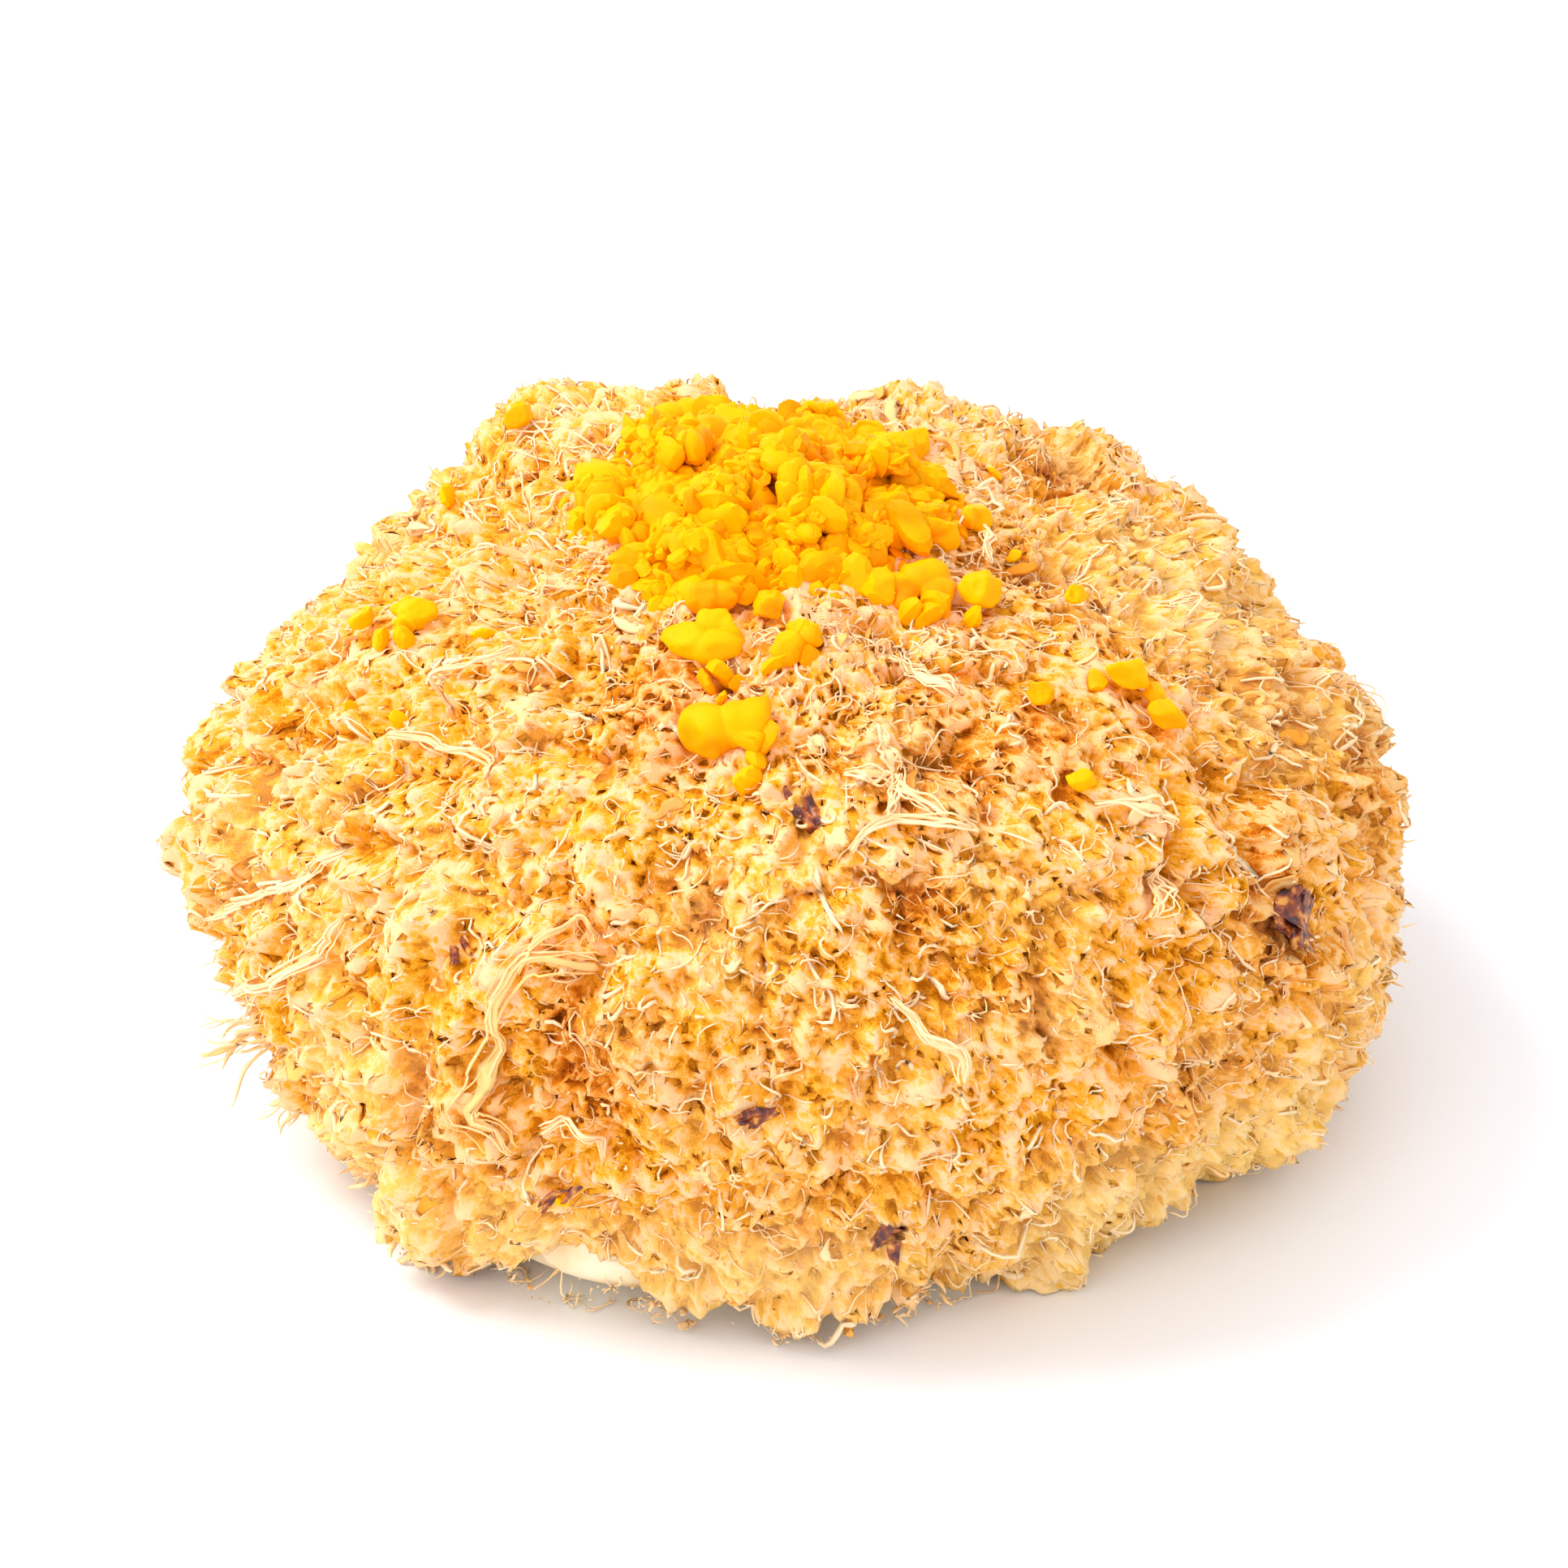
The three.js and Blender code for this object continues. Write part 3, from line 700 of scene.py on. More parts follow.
@functools.lru_cache(maxsize=1)
def yolk_material():
    """Cured and steamed egg yolk: dense, waxy and slightly see-through, so light spreads inside it,
    its edges glow and the clefts between crumbs turn orange. The deep orange of the clefts and bites
    is also painted, as shade, through the low tone that they are given."""
    look = bpy.context.scene.floss_bun.yolk
    material, tree, shader, place = new_material(
        "cured_yolk",
        Roughness=0.45,
        IOR=1.45,
        Specular_IOR_Level=0.06,
        Subsurface_Weight=0.5,
        Subsurface_Radius=(1.0, 0.5, 0.1),
        Subsurface_Scale=0.4 * MM,
    )
    cloud = add(tree, "TexNoise", {"Vector": place, "Scale": 1 / (3 * MM), "Detail": 3.0})
    tone = add(tree, "Attribute", attribute_name="tone").outputs["Fac"]
    level = add(tree, "Math", {0: cloud.outputs["Fac"], 1: tone}, operation="ADD").outputs[0]
    stops = [(0.4, tuple(look.deep)), (0.7, linear("#FFA000")), (1.0, tuple(look.bright))]
    colour = add(tree, "ValToRGB", {"Fac": level}, stops).outputs["Color"]
    grain = add(tree, "TexNoise", {"Vector": place, "Scale": 1 / (0.7 * MM), "Detail": 3.0})
    paint(tree, shader, colour, grain.outputs["Fac"], 0.35, 0.12 * MM)
    return material


@functools.lru_cache(maxsize=1)
def dough_material():
    """Soft wheat dough with a thin crust: cream and matt where the side stayed pale, tan where the
    oven reached it, in broad patches laid out by slow noise."""
    look = bpy.context.scene.floss_bun.dough
    material, tree, shader, place = new_material(
        "soft_baked_dough",
        Roughness=0.6,
        IOR=1.4,
        Subsurface_Weight=0.15,
        Subsurface_Radius=(1.0, 0.6, 0.3),
        Subsurface_Scale=1.0 * MM,
    )
    cloud = add(tree, "TexNoise", {"Vector": place, "Scale": 1 / (7 * MM), "Detail": 4.0})
    stops = [(0.34, tuple(look.crust)), (0.5, linear("#F2DCB0")), (0.7, tuple(look.pale))]
    colour = add(tree, "ValToRGB", {"Fac": cloud.outputs["Fac"]}, stops).outputs["Color"]
    grain = add(tree, "TexNoise", {"Vector": place, "Scale": 1 / (0.8 * MM), "Detail": 3.0})
    paint(tree, shader, colour, grain.outputs["Fac"])
    return material


@functools.lru_cache(maxsize=1)
def flake_material():
    """Toasted skins: dark, oily, red-brown with purple and amber lights."""
    material, tree, shader, place = new_material("toasted_skin", Roughness=0.25, IOR=1.5)
    cloud = add(tree, "TexNoise", {"Vector": place, "Scale": 1 / (0.9 * MM), "Detail": 3.0})
    stops = [
        (0.28, linear("#24101A")),
        (0.42, linear("#5A201C")),
        (0.54, linear("#9A481C")),
        (0.66, linear("#DC963C")),
    ]
    colour = add(tree, "ValToRGB", {"Fac": cloud.outputs["Fac"]}, stops).outputs["Color"]
    paint(tree, shader, colour)
    return material


# --- The coat: under-mat and lace ----------------------------------------------------------------


def lower_rows(high, spacing, columns):
    """Bearings and slopes of a grid from a slope down to the coat's own lower edge, which is at
    another slope at each bearing: the rows stretch to meet it."""
    skin = coat_skin()
    edge = skin.lowest(np.arange(columns) * 360 / columns)
    down = (high - skin.rows(high, edge.mean(), spacing)) / (high - edge.mean())
    bearing = np.tile(np.arange(columns) * 360 / columns, (len(down), 1))
    return bearing, high - down[:, None] * (high - edge)


def under_mat(bearing, slope):
    """The deep floss: it hangs under the lace in cups, one in each of its coarse cells, whose rims
    meet the strands. Returns points and the ridge share, which falls towards the bottoms of the cups
    and in creases between puffs as painted shade, and rises on their tops as painted light."""
    foot = on_coat(bearing, slope)
    _, strand, own = lace_strands(foot)
    deep = (1 - strand) * (0.25 + 0.75 * own)
    drop = 0.12 * MM + bpy.context.scene.floss_bun.coat.mat_depth * deep
    points = lace_place(foot, lace_height(foot, strand) - drop)
    # Painted shade: the colour darkens with a cup's depth and in creases, and lightens on puff tops.
    return points, np.clip(0.66 - 0.6 * deep + 0.2 * folds(bearing, slope), 0, 1)


def make_under_mat():
    """The under-mat as a crown, a shoulder and a side, with its lower edge turned in to the bun."""
    spacing = bpy.context.scene.floss_bun.coat.mat_spacing
    skin = coat_skin()
    narrow, wide = (int(2 * np.pi * radius * MM / spacing) for radius in (32, 48))
    crown, shoulder = skin.rows(90, 50, spacing), skin.rows(50.6, 5, spacing)
    bands = {
        "under_mat_crown": np.meshgrid(np.arange(narrow) * 360 / narrow, crown),
        "under_mat_shoulder": np.meshgrid(np.arange(wide) * 360 / wide, shoulder),
        "under_mat_side": lower_rows(5.6, spacing, wide),
    }
    for name, (bearing, slope) in bands.items():
        points, ridge = under_mat(bearing, slope)
        if name == "under_mat_crown":
            points[0] = points[0].mean(0)
        elif name == "under_mat_side":
            points, ridge = with_hem(points, ridge)
        rows, columns = ridge.shape
        toast_and_shade, pale = floss_tints(points)
        shares = {"ridge": ridge, "toast_and_shade": toast_and_shade, "pale": pale}
        faces, uv = ring_faces(rows, columns), ring_uv(rows, columns)
        piece = new_piece(name, points.reshape(-1, 3), faces, mat_material(), uv, shares)
        if name == "under_mat_crown":
            weld(piece)
    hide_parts("floss_coat")


def with_hem(points, ridge):
    """Adds rows that turn the mat's lower edge in under itself, up to the side of the bun."""
    last = points[-1]
    inward = -unit((last - HEART) * np.array([1.0, 1.0, 0.0]))
    hem = []
    for in_mm, up_mm in ((0.8, -0.4), (1.8, -0.3), (3.0, 0.6), (4.4, 2.4)):
        row = last + inward * (in_mm * MM) + np.array([0, 0, up_mm * MM])
        row[:, 2] = np.maximum(row[:, 2], 0.35 * MM)
        hem.append(row)
    hem = np.stack(hem)
    return np.concatenate([points, hem]), np.concatenate([ridge, np.full(hem.shape[:2], 0.3)])


LACE_SEED = 200  # every noise of the lace has a seed above this one
STRAND_WIDTH = 0.19  # of a strand of the lace, as a share of a pore


def lace_strands(foot):
    """How far inside a strand or web each point is, above zero where it stays and below zero in a
    pore, how near the middle of a strand it is, from 0 to 1, and its cell's own number. Coarse
    strands run where the two nearest seed points of cell noise are equally far, fine ones do so
    for smaller cells, and slow noise fills some pores with web."""
    coat, seed = bpy.context.scene.floss_bun.coat, LACE_SEED
    bend, kink = noise_vector(foot, 1.6 * MM, seed + 1), noise_vector(foot, 0.7 * MM, seed + 5)
    sample = foot + (0.6 * bend + 0.3 * kink + 1.3 * noise_vector(foot, 7 * MM, seed + 3)) * MM
    near, next_near, own = cells(sample, coat.pore_size, seed + 11)
    wide = next_near - near
    near, next_near, _ = cells(sample, 0.6 * coat.pore_size, seed + 21)
    fine = next_near - near
    thick = STRAND_WIDTH * (1 + 0.6 * noise(foot, 2.4 * MM, seed + 25))
    web = noise(foot, 1.5 * MM, seed + 26) + 0.8 * (own - 0.5)
    some = noise(foot, 3.5 * MM, seed + 27)
    inside = np.maximum(thick - wide, 0.6 * (0.8 * STRAND_WIDTH * (1 + some) - fine))
    inside = np.maximum(inside, 0.5 * (web + 0.8 * floss_tints(foot)[1] - coat.openness))
    strand = np.maximum(1 - smooth(0.03, 0.45, wide), 0.6 * (1 - smooth(0.03, 0.4, fine)))
    return inside, strand, own


def lace_height(foot, strand):
    """The lace's height over the coat in metres: strands ride high, webs sag between them, and
    noise of three sizes lifts and drops it all. It sinks under crumbs."""
    seed = LACE_SEED
    swell = 0.6 * noise(foot, 2.6 * MM, seed + 31) + 0.45 * noise(foot, 1.1 * MM, seed + 32)
    fine = 0.2 * noise(foot, 0.45 * MM, seed + 33)
    sunk = 0.8 * smooth(0.5, 0.9, near_crumbs(foot, 2.2 * MM))
    return (0.85 * swell + 0.45 * (strand - 0.6) + fine - sunk) * MM


def lace_place(foot, height):
    """Points at a height over the coat, pulled sideways by noise."""
    drift = noise_vector(foot, 1.1 * MM, LACE_SEED + 41) * 0.35 * MM
    return over_coat(foot, height) + drift


def fitted_to_edge(inside, bearing, slope):
    """Slides the grid's points that lie beside a pore's outline onto it, along the steepest way
    across the grid, so that pores have smooth outlines."""
    down, across = np.gradient(inside)
    steep = down**2 + across**2 + 1e-9
    shift = np.stack([-inside * down / steep, -inside * across / steep])
    length = np.maximum(np.abs(shift).max(0), 1e-9)
    shift = np.where(length < 1.2, shift * np.minimum(1, 0.55 / length), 0)
    step_s, step_b = np.gradient(slope, axis=0), bearing[0, 1] - bearing[0, 0]
    return bearing + shift[1] * step_b, slope + shift[0] * step_s


def make_lace_band(part, bearing, slope, sectors):
    """One ring of the lace, cut into sectors that meet face to face. Each is a sheet with holes,
    whose inner side lies a strand's thickness under its outer one."""
    inside, _, _ = lace_strands(on_coat(bearing, slope))
    around = np.concatenate([inside[:, -2:], inside, inside[:, :2]], 1)
    bearing = np.concatenate([bearing[:, -2:] - 360, bearing, bearing[:, :2] + 360], 1)
    slope = np.concatenate([slope[:, -2:], slope, slope[:, :2]], 1)
    bearing, slope = fitted_to_edge(around, bearing, np.minimum(slope, 89.99))
    bearing, slope, around = bearing[:, 2:-1], slope[:, 2:-1], around[:, 2:-1]
    foot = on_coat(bearing, slope)
    _, strand, _ = lace_strands(foot)
    height = lace_height(foot, strand)
    outer = lace_place(foot, height)
    thick = bpy.context.scene.floss_bun.coat.strand_thickness * (0.5 + 0.9 * strand)
    inner = outer - direction(bearing, slope) * thick[..., None]
    for side in (outer, inner):
        side[..., 2] = np.maximum(side[..., 2], 0.2 * MM)
    middle = 0.25 * (around[:-1, :-1] + around[1:, :-1] + around[:-1, 1:] + around[1:, 1:])
    kept = middle > 0
    # Painted shade: the ridge share, and so the colour, drops where the lace lies lower than its
    # surroundings and in creases between puffs, and rises on puff tops as painted light.
    raised = (height - blurred(height, np.full(9, 1 / 9))) / MM
    ridge = 0.4 + 0.25 * strand + 0.3 * height / MM + 1.3 * raised
    ridge = ridge + 0.2 * folds(bearing, slope)
    toast_and_shade, pale = floss_tints(foot)
    columns = kept.shape[1]
    for sector in range(sectors):
        start, end = sector * columns // sectors, (sector + 1) * columns // sectors
        own = np.s_[:, start : end + 1]  # a sector's points: one column more than its cells
        points, quads, uv, where = sheet_with_holes(outer[own], inner[own], kept[:, start:end])
        shares = {"ridge": ridge, "toast_and_shade": toast_and_shade, "pale": pale}
        shares = {label: values[own].ravel()[where] for label, values in shares.items()}
        name = f"outer_lace_{part}_{sector + 1}"
        new_piece(name, points, quads, web_material(), uv, shares)


def make_lace():
    """The lace of webs over the under-mat, in a crown and a side."""
    skin = coat_skin()
    spacing = bpy.context.scene.floss_bun.coat.lace_spacing
    columns = int(2 * np.pi * 30 * MM / spacing)
    crown = np.meshgrid(np.arange(columns) * 360 / columns, skin.rows(88.6, 52, spacing))
    make_lace_band("crown", *crown, 2)
    columns = int(2 * np.pi * 45 * MM / spacing)
    make_lace_band("side", *lower_rows(52, spacing, columns), 5)


# --- Fibres, shreds and strands ------------------------------------------------------------------


def curled_paths(rng, bearing, slope, length, steps, rise, sink, lift):
    """Paths of curled fibres over the coat. From its foot each heads off in a random direction and
    turns at a slowly changing rate, while its height swells from -sink up to rise and back, and
    its far end lifts by lift. All lengths are in metres, one for each fibre."""
    n = len(bearing)
    foot, round_it, up_it, _ = coat_axes(bearing, slope)
    s = np.linspace(0, 1, steps)[None]
    wave = rng.uniform(0.4, 1.7, (n, 1))
    wave = wave * np.sin(s * rng.uniform(3, 9, (n, 1)) + rng.uniform(0, 6.3, (n, 1)))
    angle = rng.uniform(0, 2 * np.pi, (n, 1)) + rng.normal(0, 2.1, (n, 1)) * s + wave
    step = length[:, None] / (steps - 1)
    x, y = np.cumsum(np.cos(angle) * step, 1), np.cumsum(np.sin(angle) * step, 1)
    flat = foot[:, None] + x[..., None] * round_it[:, None] + y[..., None] * up_it[:, None]
    arch = np.sin(np.pi * s ** rng.uniform(0.7, 1.4, (n, 1)))
    ripple = 1 + 0.3 * np.sin(s * rng.uniform(4, 12, (n, 1)) + rng.uniform(0, 6.3, (n, 1)))
    height = -sink[:, None] + (rise + sink)[:, None] * arch * ripple + lift[:, None] * s**2
    paths = over_coat(flat, height)
    paths[..., 2] = np.maximum(paths[..., 2], 0.25 * MM)
    return paths


def scattered(rng, count, low_b, high_b, low_s, high_s):
    """Bearings and slopes scattered evenly by area, and kept off the heap. More are drawn than are
    needed, so that enough stay."""
    low, high = np.sin(np.radians([low_s, high_s]))
    bearing = rng.uniform(low_b, high_b, 8 * count)
    slope = np.degrees(np.arcsin(rng.uniform(low, high, 8 * count)))
    stay = 1 - smooth(0.3, 0.85, near_crumbs(on_coat(bearing, slope), 2.6 * MM))
    keep = np.flatnonzero(rng.uniform(0, 1, len(bearing)) < stay)[:count]
    return bearing[keep], slope[keep]


def new_tubes(name, tone, paths, half_width, half_thick, sides, reference):
    """A piece of fibres that are swept along their paths, each with a tone of its own."""
    points, faces, uv, per = sweep(paths, half_width, half_thick, sides, reference)
    shares = {"tone": np.repeat(tone, per)}
    new_piece(name, points, faces, fibre_material(), uv, shares)


# Each area's name, lowest and highest bearing, lowest and highest slope, and how many curled
# fibres, wisps and shreds lie in it.
FLOSS_AREAS = [
    ("front_left", 180, 270, -30, 55, 880, 1350, 60),
    ("front_right", 270, 360, -30, 55, 880, 1350, 60),
    ("back_right", 0, 90, -30, 55, 880, 1350, 60),
    ("back_left", 90, 180, -30, 55, 880, 1350, 60),
    ("crown", 0, 360, 50, 90, 240, 340, 20),
]


def floss_tone(rng, bearing, slope, low, high):
    """Tones of fibres, lower where the floss is toasted and where shade is painted on it."""
    foot = on_coat(bearing, slope)
    toast_and_shade, _ = floss_tints(foot)
    return np.clip(rng.uniform(low, high, len(bearing)) - 0.4 * toast_and_shade, 0.05, 1)


def make_fibres(seed, name, bearing, slope, tone):
    """One piece of curled fibres: tubes of three sides along curled paths, thinned to their tips. A
    third of them are coarser and paler, and a fifth lift off at their far end."""
    look = bpy.context.scene.floss_bun.fibres
    rng = np.random.default_rng(seed)
    n, steps, mean_length, mean_rise = len(bearing), 10, look.curl_length, 0.3 * MM
    length = rng.gamma(6.0, mean_length / 6, n).clip(0.4 * mean_length, 2.2 * mean_length)
    rise = rng.gamma(2.5, mean_rise / 2.5, n).clip(0.1 * mean_rise, 3 * mean_rise)
    sink = rng.uniform(0.2, 0.9, n) * MM
    lift = np.where(rng.uniform(0, 1, n) < 0.2, rng.uniform(0.2, 1.0, n) * (0.7 * MM), 0)
    paths = curled_paths(rng, bearing, slope, length, steps, rise, sink, lift)
    s = np.linspace(0, 1, steps)[None]
    coarse = rng.uniform(0, 1, n) < 0.35
    thick = rng.gamma(8.0, look.half_width / 8, (n, 1)) * np.sin(np.pi * (0.08 + 0.84 * s)) ** 0.7
    thick, tone = thick * np.where(coarse, 1.8, 1)[:, None], np.where(coarse, 1, tone)
    wide = thick * rng.uniform(1.0, 2.2, (n, 1))
    reference = unit(paths - HEART) + rng.normal(0, 0.5, (n, 1, 3))
    new_tubes(name, tone, paths, wide, thick, 3, reference)


def make_wisps(seed, name, bearing, slope):
    """Wisps: short torn tips that stand on the ridges of the lace. Each leaves its ridge at a
    random lean, along a cubic curve with a random bend and curl, and thins to a point."""
    rng = np.random.default_rng(seed)
    foot, round_it, up_it, out = coat_axes(bearing, slope)
    inside, strand, _ = lace_strands(foot)
    keep = np.flatnonzero((inside > 0.0) & (strand > 0.2))
    foot, round_it, up_it, out = foot[keep], round_it[keep], up_it[keep], out[keep]
    n, steps = len(keep), 5
    base = over_coat(foot, lace_height(foot, strand[keep]) - 0.1 * MM)
    turn = rng.uniform(0, 2 * np.pi, (n, 1))
    flat = np.cos(turn) * round_it + np.sin(turn) * up_it
    lean = np.radians(rng.uniform(40, 88, (n, 1)))
    aim = np.cos(lean) * out + np.sin(lean) * flat
    bend, curl = rng.normal(0, 2.4, (2, n, 1, 3))
    s = np.linspace(0, 1, steps)[None, :, None]
    length = rng.gamma(5, 0.22, (n, 1, 1)).clip(0.4, 2.0) * MM
    edge = smooth(-14, -24, slope[keep]) + 0.7 * smooth(28, 42, slope[keep])
    length = length * (1 - 0.6 * edge)[:, None, None]
    curve = s * aim[:, None] + 0.5 * s**2 * bend + 0.4 * s**3 * curl
    run = np.linalg.norm(np.diff(curve, axis=1), axis=-1).sum(1)
    paths = base[:, None] + length * curve / run[:, None, None]
    paths[..., 2] = np.maximum(paths[..., 2], 0.25 * MM)
    taper = (1.02 - s[..., 0]) ** 0.8
    thick = rng.uniform(0.09, 0.17, (n, 1)) * MM * taper
    wide = thick * rng.uniform(1.0, 2.2, (n, 1))
    reference = out[:, None] + rng.normal(0, 0.5, (n, 1, 3)) + 0 * paths
    tone = floss_tone(rng, bearing[keep], slope[keep], 0.5, 1.2)
    new_tubes(name, tone, paths, wide, thick, 3, reference)


def make_all_fibres():
    """Curled fibres and wisps over the whole coat, a piece of each for each area."""
    for index, (area, *edges, curled, wisps, _) in enumerate(FLOSS_AREAS):
        rng = np.random.default_rng(100 + index)
        place = scattered(rng, curled, *edges)
        tone = floss_tone(rng, *place, 0.65, 1.1)
        make_fibres(200 + index, f"curled_fibres_{area}", *place, tone)
        place = scattered(rng, 2 * wisps, *edges)
        make_wisps(300 + index, f"wisps_{area}", *place)


def make_shreds():
    """Flat shreds: short, wide, thin ribbons with ragged edges that lie curled on the webs."""
    look = bpy.context.scene.floss_bun.fibres
    for index, (area, *edges, _, _, count) in enumerate(FLOSS_AREAS):
        rng = np.random.default_rng(400 + index)
        bearing, slope = scattered(rng, count, *edges)
        n, steps = len(bearing), 12
        length = rng.uniform(1.6, 4.5, n) * MM
        rise = rng.uniform(0.2, 0.8, n) * MM
        sink = rng.uniform(0.1, 0.6, n) * MM
        lift = np.where(rng.uniform(0, 1, n) < 0.3, rng.uniform(0.3, 1.0, n), 0) * MM
        paths = curled_paths(rng, bearing, slope, length, steps, rise, sink, lift)
        s = np.linspace(0, 1, steps)[None]
        swell = np.sin(np.pi * (0.05 + 0.9 * s ** rng.uniform(0.6, 1.6, (n, 1)))) ** 0.8
        ragged = 1 + 0.5 * noise(paths, 0.6 * MM, 151)
        wide = rng.uniform(0.25, 1.0, (n, 1)) * look.shred_width * swell * ragged
        reference = unit(paths - HEART) + rng.normal(0, 0.6, (n, 1, 3))
        thin = 0.04 * MM + 0 * wide
        tone = floss_tone(rng, bearing, slope, 0.2, 0.75)
        new_tubes(f"shreds_{area}", tone, paths, wide, thin, 6, reference)


# Long strands that stand out, each a list of (bearing, slope, height in mm, half width in mm).
LONG_STRANDS = {
    "thick_left": [
        (250, 11.5, 0.9, 1.0), (247, 12.8, 1.4, 0.8), (243.5, 12, 1.5, 0.55), (242, 8, 1.3, 0.6),
        (241, 3, 1.2, 0.7), (239.5, -1.5, 1.1, 0.9), (239, -4, 1.2, 0.8), (241.5, -6, 1.2, 0.55),
        (243.5, -8, 1.6, 0.35),
    ],
    "thick_left_branch": [
        (243, 11, 1.2, 0.2), (245, 14.5, 1.7, 0.2), (247.5, 16, 1.5, 0.16), (249, 14, 1.0, 0.12),
    ],
    "hook": [
        (278.5, 11, 1.2, 0.12), (280, 9.4, 1.6, 0.25), (281.5, 7.6, 1.7, 0.4),
        (283, 6.6, 1.5, 0.55), (284.6, 5.4, 1.3, 0.45), (284.6, 3.2, 1.0, 0.3),
    ],
    "brow": [
        (275.5, 24.5, 0.7, 0.14), (279, 26.8, 1.2, 0.16), (284, 27.2, 1.3, 0.18),
        (288, 26.4, 1.2, 0.2), (291, 24.6, 0.7, 0.16),
    ],
    "left_white": [
        (211, 24, 0.7, 0.12), (214.5, 26, 1.2, 0.18), (219, 26, 1.3, 0.2), (224, 27.5, 1.2, 0.18),
        (229, 26, 0.7, 0.12),
    ],
    "left_long": [
        (199, -2, 0.9, 0.14), (203, 2, 1.4, 0.2), (208, 5.5, 1.5, 0.22), (213, 8.5, 1.4, 0.3),
        (217, 14, 1.2, 0.3),
    ],
    "left_low": [
        (203, -9, 0.8, 0.14), (208, -4, 1.4, 0.2), (214, -1, 1.4, 0.3), (219, 4, 1.2, 0.3),
        (221, 9, 0.9, 0.24),
    ],
    "forked": [
        (244.5, -6, 1.1, 0.14), (248, -3.4, 1.6, 0.2), (250, -4, 1.5, 0.2),
        (251.5, -7.5, 1.1, 0.14),
    ],
    "star_up": [(283.4, 32.5, 1.2, 0.5), (283, 35, 1.5, 0.3), (282.4, 39, 1.2, 0.12)],
    "star_left": [(283.4, 32.5, 1.2, 0.5), (280.5, 32.8, 1.4, 0.4), (276.5, 33.5, 0.9, 0.14)],
    "star_right": [(283.4, 32.5, 1.2, 0.5), (285, 30, 1.5, 0.35), (288, 26.8, 0.9, 0.12)],
    "star_down": [(283.4, 32.5, 1.2, 0.5), (282.4, 29.5, 1.3, 0.5), (281.5, 26.6, 0.7, 0.2)],
    "right_flap": [
        (306, 24.5, 0.9, 0.2), (309.5, 23.5, 1.4, 0.3), (312.5, 21.8, 1.4, 0.5),
        (314.5, 19, 1.0, 0.3),
    ],
    "right_petal": [
        (307, 12.5, 1.0, 0.3), (308.6, 14, 1.5, 0.8), (309.6, 15.6, 1.5, 0.8),
        (309.8, 17, 0.9, 0.2),
    ],
    "crown_right": [
        (294, 50, 0.8, 0.12), (295, 47, 1.4, 0.5), (296.4, 43.4, 1.3, 0.6), (298, 41, 0.8, 0.2),
    ],
    "crown_pale": [(362, 59, 0.8, 0.3), (354, 58.6, 1.4, 0.45), (344, 57.4, 1.0, 0.2)],
    "left_crown": [
        (215, 40, 0.8, 0.14), (212, 36, 1.4, 0.2), (211, 32, 1.3, 0.2), (213, 28.6, 0.8, 0.12),
    ],
    "back_arch": [
        (80, 10, 0.8, 0.16), (86, 13, 1.5, 0.3), (93, 14, 1.5, 0.35), (99, 11, 1.3, 0.3),
        (102, 6, 0.8, 0.16),
    ],
    "back_low": [
        (130, -8, 0.8, 0.2), (134, -4, 1.4, 0.3), (139, -3, 1.4, 0.3), (143, -6, 0.8, 0.16),
    ],
    "right_side": [(18, 2, 0.8, 0.16), (14, 6, 1.4, 0.25), (9, 8, 1.4, 0.3), (4, 6, 0.9, 0.2)],
}


def eased(knots, count):
    """A smooth line through knots, (n, d), as count points: each coordinate is a cubic in the
    knots' run, with slopes taken from the knots on either side."""
    knots = np.array(knots, float)
    run = np.arange(len(knots))
    at = np.linspace(0, run[-1], count)
    k = np.minimum(at.astype(int), len(knots) - 2)
    t = (at - k)[:, None]
    slopes = np.gradient(knots, axis=0)
    a, b, da, db = knots[k], knots[k + 1], slopes[k], slopes[k + 1]
    return (
        a * (2 * t**3 - 3 * t**2 + 1)
        + da * (t**3 - 2 * t**2 + t)
        + b * (3 * t**2 - 2 * t**3)
        + db * (t**3 - t**2)
    )


